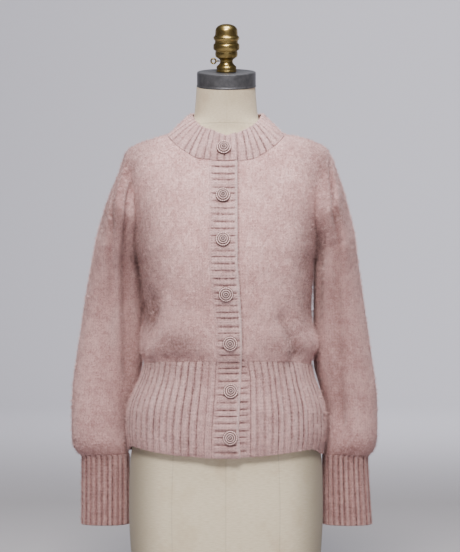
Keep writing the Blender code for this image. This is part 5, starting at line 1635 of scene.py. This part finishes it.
def painted_board():
    """A wooden base board, painted stone grey: an eggshell surface with the grain just showing."""
    material, tree, shader = new_material("painted_board", "#b9b0a4", 0.55)
    grain_place = add(tree, "ShaderNodeMapping", {0: add(tree, "ShaderNodeTexCoord").outputs["Object"]})
    grain_place.inputs["Scale"].default_value = (12.0, 160.0, 160.0)
    grain = add(tree, "ShaderNodeTexNoise", {"Vector": grain_place.outputs[0], "Scale": 1.0, "Detail": 4.0})
    colour = add(
        tree, "ShaderNodeMix",
        {0: grain.outputs[0], 6: linear("#aea596"), 7: linear("#c2baae")}, data_type="RGBA",
    )
    tree.links.new(colour.outputs[2], shader.inputs["Base Color"])
    raised = add(tree, "ShaderNodeBump", {"Strength": 0.2, "Distance": 0.0004, "Height": grain.outputs[0]})
    tree.links.new(raised.outputs[0], shader.inputs["Normal"])
    return material


def matt_paper():
    """Pale grey background paper: plain and matt."""
    return new_material("matt_paper", "#b6b4b7", 0.95, Specular_IOR_Level=0.1)[0]


def only(piece):
    """Select this piece alone."""
    bpy.ops.object.select_all(action="DESELECT")
    piece.select_set(True)
    bpy.context.view_layer.objects.active = piece


def turned(name, profile, sides, material):
    """A piece shaped as on a lathe: a disc drawn up ring by ring along a half profile."""
    bpy.ops.object.select_all(action="DESELECT")
    bpy.ops.mesh.primitive_circle_add(vertices=sides, radius=profile[0][0] * MM, fill_type="NGON")
    piece = bpy.context.object
    piece.name = name
    piece.data.name = name
    bpy.ops.object.mode_set(mode="EDIT")
    bpy.ops.mesh.select_all(action="SELECT")
    for (radius, height), (next_radius, next_height) in zip(profile, profile[1:]):
        bpy.ops.mesh.extrude_region_move(
            TRANSFORM_OT_translate={"value": (0, 0, (next_height - height) * MM)}
        )
        share = next_radius / radius
        bpy.ops.transform.resize(value=(share, share, 1), center_override=(0, 0, next_height * MM))
    bpy.ops.mesh.select_all(action="SELECT")
    bpy.ops.mesh.normals_make_consistent(inside=False)
    bpy.ops.object.mode_set(mode="OBJECT")
    piece.data.materials.append(material)
    bpy.ops.object.shade_smooth_by_angle(angle=math.radians(35))
    return piece


def put(piece, point, upward):
    """Move a piece that was made at the origin to its point, with its axis along a direction."""
    turn = Vector((0, 0, 1)).rotation_difference(Vector(upward)).to_matrix().to_4x4()
    piece.data.transform(Matrix.Translation(Vector(point) * MM) @ turn)
    piece.data.update()
    return piece


def joined(name, pieces):
    """Several pieces made one, with its place in its mesh."""
    bpy.ops.object.select_all(action="DESELECT")
    for piece in pieces:
        piece.select_set(True)
    bpy.context.view_layer.objects.active = pieces[0]
    bpy.ops.object.join()
    whole = bpy.context.object
    bpy.ops.object.transform_apply(location=True, rotation=True, scale=True)
    whole.name = name
    whole.data.name = name
    return whole


def cord_button(material, under):
    """One domed button at the origin: turns of cord on a dark dome, round a knob of the same cord. The dome's
    dark colour is painted shade between the turns and a painted shadow round the edge.
    """
    parts = [turned("button_pattern", BUTTON_DOME, 40, under)]
    for radius, height in BUTTON_TURNS:
        bpy.ops.mesh.primitive_torus_add(
            major_radius=radius * MM, minor_radius=CORD_RADIUS * MM, major_segments=44, minor_segments=10,
            location=(0, 0, height * MM), generate_uvs=True,
        )
        parts.append(bpy.context.object)
    bpy.ops.mesh.primitive_uv_sphere_add(
        segments=20, ring_count=12, radius=BUTTON_KNOB * MM, location=(0, 0, BUTTON_KNOB_HEIGHT * MM),
    )
    parts.append(bpy.context.object)
    for part in parts[1:]:
        only(part)
        part.data.materials.append(material)
        bpy.ops.object.shade_smooth()
    return joined("button_pattern", parts)


def button_seats():
    """Where each button sits on its band, and which way it faces, from the neck down."""
    above_band = BAND_LIFT + RIB_BASE + RIB_HEIGHT + BUTTON_CLEARANCE
    above_neckband = NECKBAND_LIFT + RIB_BASE + RIB_HEIGHT + BUTTON_CLEARANCE
    neck_angle = 360 + front_angle(np.array([NECK_BUTTON_X]), np.array([NECK_BUTTON_Z]))
    point, normal = neckband_surface(neck_angle, np.array([NECK_BUTTON_PLACE]), lifted=False)
    seats = [(point[0] + normal[0] * above_neckband, normal[0])]
    for x, z in zip(BUTTONS["x"], BUTTONS["z"]):
        angle = front_angle(np.array(x), np.array(z))
        normal = torso_normal(angle, z)
        seats.append((torso(angle, z) + normal * above_band, normal))
    return seats


def buttons(material, under):
    pattern = cord_button(material, under)
    made = []
    for number, (point, normal) in enumerate(button_seats(), start=1):
        piece = bpy.data.objects.new(f"cord_button_{number}", pattern.data.copy())
        bpy.context.scene.collection.objects.link(piece)
        made.append(put(piece, point, normal))
    bpy.data.objects.remove(pattern, do_unlink=True)
    return made


def form_body(material):
    """The form under its linen: smooth rings from its base to the top of its neck, with flat ends."""
    angle = np.linspace(-180, 180, FORM_SIDES + 1)
    heights = np.concatenate((
        np.arange(FORM["z"][0], NECK_TILT_START, FORM_STEP), np.linspace(NECK_TILT_START, NECK_TILT_END, 14),
    ))[:, None]
    turn = np.radians(angle)[None, :]
    half_width, front_depth, back_depth, squareness, lean = (
        column(FORM, "z", name, heights) for name in ("half_width", "front", "back", "squareness", "lean")
    )
    depth = np.where(np.cos(turn) > 0, front_depth, back_depth)
    radius = ring_radius(angle[None, :], half_width, depth, squareness)
    y = -radius * np.cos(turn)
    near_top = ease((heights - NECK_TILT_START) / (NECK_TILT_END - NECK_TILT_START))
    tilt = math.tan(math.radians(CAP_TILT)) * near_top
    grid = points(radius * np.sin(turn), y + lean, heights + tilt * y)
    rows, columns = grid.shape[:2]
    numbers = np.arange(rows * (columns - 1)).reshape(rows, columns - 1)
    wrapped_numbers = np.concatenate((numbers, numbers[:, :1]), axis=1)
    ends = np.stack((numbers[0], numbers[-1]))
    piece = mesh_object("linen_form", grid[:, :-1].reshape(-1, 3), [quads(wrapped_numbers), ends], material)
    unmerged = np.arange(rows * columns).reshape(rows, columns)
    corners = np.concatenate((quads(unmerged).ravel(), unmerged[0, :-1], unmerged[-1, :-1]))
    uv = np.stack(np.broadcast_arrays(angle[None, :] / 360 * FORM_GIRTH, heights), -1).reshape(-1, 2) * MM
    layer = piece.data.uv_layers.new(name="cloth")
    layer.data.foreach_set("uv", uv[corners].ravel())
    face_outward(piece.data)
    only(piece)
    bpy.ops.object.shade_smooth_by_angle(angle=math.radians(50))
    return piece


def form_base(material):
    """The oval base board, with a rounded edge and a deeper back than front."""
    bpy.ops.object.select_all(action="DESELECT")
    bpy.ops.mesh.primitive_cylinder_add(
        vertices=120, radius=MM, depth=BASE_THICKNESS * MM, location=(0, 0, BASE_THICKNESS * MM / 2)
    )
    board = bpy.context.object
    board.name = "base_board"
    bpy.ops.object.transform_apply(location=True)
    bpy.ops.object.mode_set(mode="EDIT")
    bpy.ops.transform.resize(value=(BASE_HALF_WIDTH, BASE_FRONT, 1), center_override=(0, 0, 0))
    work = bmesh.from_edit_mesh(board.data)
    for vertex in work.verts:
        vertex.select_set(vertex.co.y > 0)
    work.select_flush_mode()
    bmesh.update_edit_mesh(board.data)
    bpy.ops.transform.resize(value=(1, BASE_BACK / BASE_FRONT, 1), center_override=(0, 0, 0))
    bpy.ops.object.mode_set(mode="OBJECT")
    bevel = board.modifiers.new("Rounded edge", "BEVEL")
    bevel.width = BASE_EDGE * MM
    bevel.segments = 4
    bpy.ops.object.modifier_apply(modifier=bevel.name)
    board.data.materials.append(material)
    bpy.ops.object.shade_smooth_by_angle(angle=math.radians(35))
    return board


def form_fittings(steel, brass):
    """The tilted neck cap, the finial on it, and the ring-ended pin in the finial's side."""
    tilt = math.radians(CAP_TILT)
    axis = np.array((0.0, -math.sin(tilt), math.cos(tilt)))
    foot = np.array(CAP_FOOT)
    cap = put(turned("neck_cap", CAP_PROFILE, 96, steel), foot, axis)
    finial_foot = foot + axis * (CAP_HEIGHT + REST_GAP)
    finial = put(turned("turned_finial", FINIAL_PROFILE, 64, brass), finial_foot, axis)
    bpy.ops.object.select_all(action="DESELECT")
    bpy.ops.mesh.primitive_cylinder_add(
        vertices=20, radius=PIN_RADIUS * MM, depth=PIN_LENGTH * MM, rotation=(0, math.pi / 2, 0),
        location=(-(PIN_INSET + PIN_LENGTH / 2) * MM, 0, 0),
    )
    shank = bpy.context.object
    bpy.ops.mesh.primitive_torus_add(
        major_segments=32, minor_segments=10, major_radius=PIN_RING_RADIUS * MM,
        minor_radius=PIN_RADIUS * 1.1 * MM, rotation=(math.pi / 2, 0, 0),
        location=(-(PIN_INSET + PIN_LENGTH + PIN_RING_RADIUS - PIN_RADIUS / 2) * MM, 0, 0),
    )
    ring = bpy.context.object
    for part in (shank, ring):
        only(part)
        part.data.materials.append(brass)
        bpy.ops.object.shade_smooth_by_angle(angle=math.radians(40))
    pin = put(joined("ring_pin", [shank, ring]), finial_foot + axis * PIN_HEIGHT, axis)
    return cap, finial, pin


def backdrop(material):
    """A round paper sweep: a wide floor that curves up into a low wall all round."""
    bpy.ops.object.select_all(action="DESELECT")
    bpy.ops.mesh.primitive_circle_add(vertices=96, radius=SWEEP_FLOOR, fill_type="NGON")
    sweep = bpy.context.object
    sweep.name = "backdrop"
    bpy.ops.object.mode_set(mode="EDIT")
    bpy.ops.mesh.select_all(action="DESELECT")
    bpy.ops.mesh.select_mode(type="EDGE")
    work = bmesh.from_edit_mesh(sweep.data)
    for edge in work.edges:
        edge.select_set(True)
    bmesh.update_edit_mesh(sweep.data)
    radius, height = SWEEP_FLOOR, 0.0
    for step in range(1, SWEEP_STEPS + 1):
        turn = math.pi / 2 * step / SWEEP_STEPS
        next_radius = SWEEP_FLOOR + SWEEP_CURVE * math.sin(turn)
        next_height = SWEEP_CURVE * (1 - math.cos(turn))
        bpy.ops.mesh.extrude_edges_move(
            TRANSFORM_OT_translate={"value": (0, 0, next_height - height)}
        )
        share = next_radius / radius
        bpy.ops.transform.resize(value=(share, share, 1), center_override=(0, 0, next_height))
        radius, height = next_radius, next_height
    bpy.ops.mesh.extrude_edges_move(TRANSFORM_OT_translate={"value": (0, 0, SWEEP_WALL)})
    bpy.ops.mesh.select_mode(type="VERT")
    bpy.ops.mesh.select_all(action="SELECT")
    bpy.ops.mesh.normals_make_consistent(inside=True)
    bpy.ops.object.mode_set(mode="OBJECT")
    sweep.data.materials.append(material)
    bpy.ops.object.shade_smooth()


def soft_light(name, place, aim, width, height, power, colour):
    light = bpy.data.lights.new(name, "AREA")
    light.shape = "RECTANGLE"
    light.size = width
    light.size_y = height
    light.energy = power
    light.color = linear(colour)[:3]
    lamp = bpy.data.objects.new(name, light)
    bpy.context.scene.collection.objects.link(lamp)
    lamp.location = place
    lamp.rotation_euler = (Vector(aim) - Vector(place)).to_track_quat("-Z", "Y").to_euler()
    lamp.visible_camera = False


def studio():
    """Plain soft light from above and in front, and the camera straight in front of the form."""
    world = bpy.data.worlds.new("soft_daylight")
    world.use_nodes = True
    world.node_tree.nodes["Background"].inputs["Color"].default_value = linear("#e9ebf0")
    world.node_tree.nodes["Background"].inputs["Strength"].default_value = WORLD_LIGHT
    bpy.context.scene.world = world
    soft_light("key", (-0.15, -2.5, 2.9), (0, 0, 0.6), 1.1, 1.0, KEY_POWER, "#fff8f4")
    soft_light("top", (0.1, -0.6, 3.1), (0, 0, 0.7), 1.0, 1.2, TOP_POWER, "#f8f9ff")
    soft_light("fill", (0.4, -3.4, 1.0), (0, 0, 0.5), 2.0, 1.4, FILL_POWER, "#f8f9ff")
    soft_light("wall", (1.0, 2.6, 3.2), (1.1, 7.0, 1.5), 3.6, 1.0, WALL_POWER, "#f4f5ff")
    camera = bpy.data.cameras.new("front_camera")
    camera.sensor_width = 36.0
    camera.lens = CAMERA_LENS
    camera.clip_start = 0.1
    camera.clip_end = 30.0
    eye = bpy.data.objects.new("front_camera", camera)
    bpy.context.scene.collection.objects.link(eye)
    eye.location = CAMERA_PLACE
    eye.rotation_euler = (math.pi / 2, 0, 0)
    bpy.context.scene.camera = eye


def declare(made, node):
    """A piece stands for its node, whose solid is hidden, and moves with the part's one body."""
    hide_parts(node)
    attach(made, "root")


def knitted(pair, node):
    """Declare a knitted piece and its fibres."""
    piece, hair = pair
    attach(hair, "root")
    declare(piece, node)


# In each pair the first colour is the wool's own on the chest and the second the deeper pink of painted
# shade; the third pair is the colour of painted shade in grooves, folds and shadows
mohair = knitted_mohair(
    "brushed_mohair_knit", ("#fdd6d2", "#c09591"), ("#d2a5a2", "#9b706d"), ("#8f6a66", "#6f4844"),
    4.4, 5.0, 0.25,
)
mohair_rib = knitted_mohair(
    "ribbed_mohair_knit", ("#efc8c5", "#c1968f"), ("#c39b99", "#9a706d"), ("#6f4f4d", "#583936"),
    4.4, 5.6, 0.4,
)
fibre = mohair_fibre()
cord = twisted_cord()
# A dark dome under each button's cord: painted shade between the turns and a painted shadow round the edge
cord_shade_dome = new_material("cotton_cord_in_shadow", "#664a47", 0.9)[0]
linen = woven_linen()
brass = aged_brass()
arcs = arc_tables()

linen_form = form_body(linen)
declare(linen_form, "form_body")
declare(form_base(painted_board()), "form_base")
neck_cap, finial, pin = form_fittings(grey_steel(), brass)
declare(neck_cap, "form_neck_cap")
declare(finial, "form_finial")
declare(pin, "form_pin")
for number, button in enumerate(buttons(cord, cord_shade_dome), start=1):
    declare(button, f"button_{number}")

made = {}
for side, name in ((LEFT, "left"), (RIGHT, "right")):
    made[f"front_{name}"] = front(side, arcs, mohair, fibre)
    made[f"sleeve_{name}"] = sleeve_piece(side, mohair, fibre)
    made[f"cuff_{name}"] = cuff(side, mohair_rib, fibre)
made["back"] = back(arcs, mohair, fibre)
side_end = 90 - SIDE_SEAM_ANGLE
made["waistband_left"] = waistband(
    "ribbed_waistband_left", lambda z: float(centre_front_angle(LEFT, np.array(z))), side_end,
    WAIST_RIBS_FRONT, WAIST_FIBRES, 51, mohair_rib, fibre, LEFT,
)
made["waistband_right"] = waistband(
    "ribbed_waistband_right", lambda z: float(centre_front_angle(RIGHT, np.array(z))), -side_end,
    WAIST_RIBS_FRONT, WAIST_FIBRES, 52, mohair_rib, fibre, RIGHT,
)
made["waistband_back"] = waistband(
    "ribbed_waistband_back", lambda z: 180 - side_end, 180 + side_end,
    WAIST_RIBS_BACK, WAIST_BACK_FIBRES, 53, mohair_rib, fibre,
)
made["button_band"] = front_band(
    "ribbed_button_band", BUTTON_BAND, 0.0, False, (FREE_EDGE, HIDDEN_EDGE), 61, mohair_rib, fibre
)
made["buttonhole_band"] = front_band(
    "ribbed_buttonhole_band", BUTTONHOLE_BAND, BAND_LIFT, True, (HIDDEN_EDGE, FREE_EDGE), 62, mohair_rib,
    fibre,
)
made["neckband"] = neckband(mohair_rib, fibre)

body = ["front_left", "front_right", "back"]
# The flat size that each piece is knitted to, in metres: its width (all round on a tube), its length, its
# area where it isn't a rectangle, and what it hangs from or lies on
for node, slot, width, length, area, rests_on in (
    ("front_left", "mohair_knit", 0.225, 0.395, 0.067, ["linen_form"]),
    ("front_right", "mohair_knit", 0.220, 0.395, 0.066, ["linen_form"]),
    ("back", "mohair_knit", 0.455, 0.415, 0.150, ["linen_form"]),
    ("sleeve_left", "mohair_knit", 0.315, 0.610, 0.169, ["front_left", "back"]),
    ("sleeve_right", "mohair_knit", 0.325, 0.610, 0.172, ["front_right", "back"]),
    ("cuff_left", "mohair_rib", 0.204, 0.133, None, ["sleeve_left"]),
    ("cuff_right", "mohair_rib", 0.204, 0.133, None, ["sleeve_right"]),
    ("waistband_left", "mohair_rib", 0.193, 0.162, None, ["front_left"]),
    ("waistband_right", "mohair_rib", 0.212, 0.162, None, ["front_right"]),
    ("waistband_back", "mohair_rib", 0.455, 0.162, None, ["back"]),
    ("button_band", "mohair_rib", 0.045, 0.504, None, ["front_left"]),
    ("buttonhole_band", "mohair_rib", 0.049, 0.504, None, ["button_band"]),
    ("neckband", "mohair_rib", 0.510, 0.052, None, body),
):
    knitted(made[node], node)

backdrop(matt_paper())
studio()
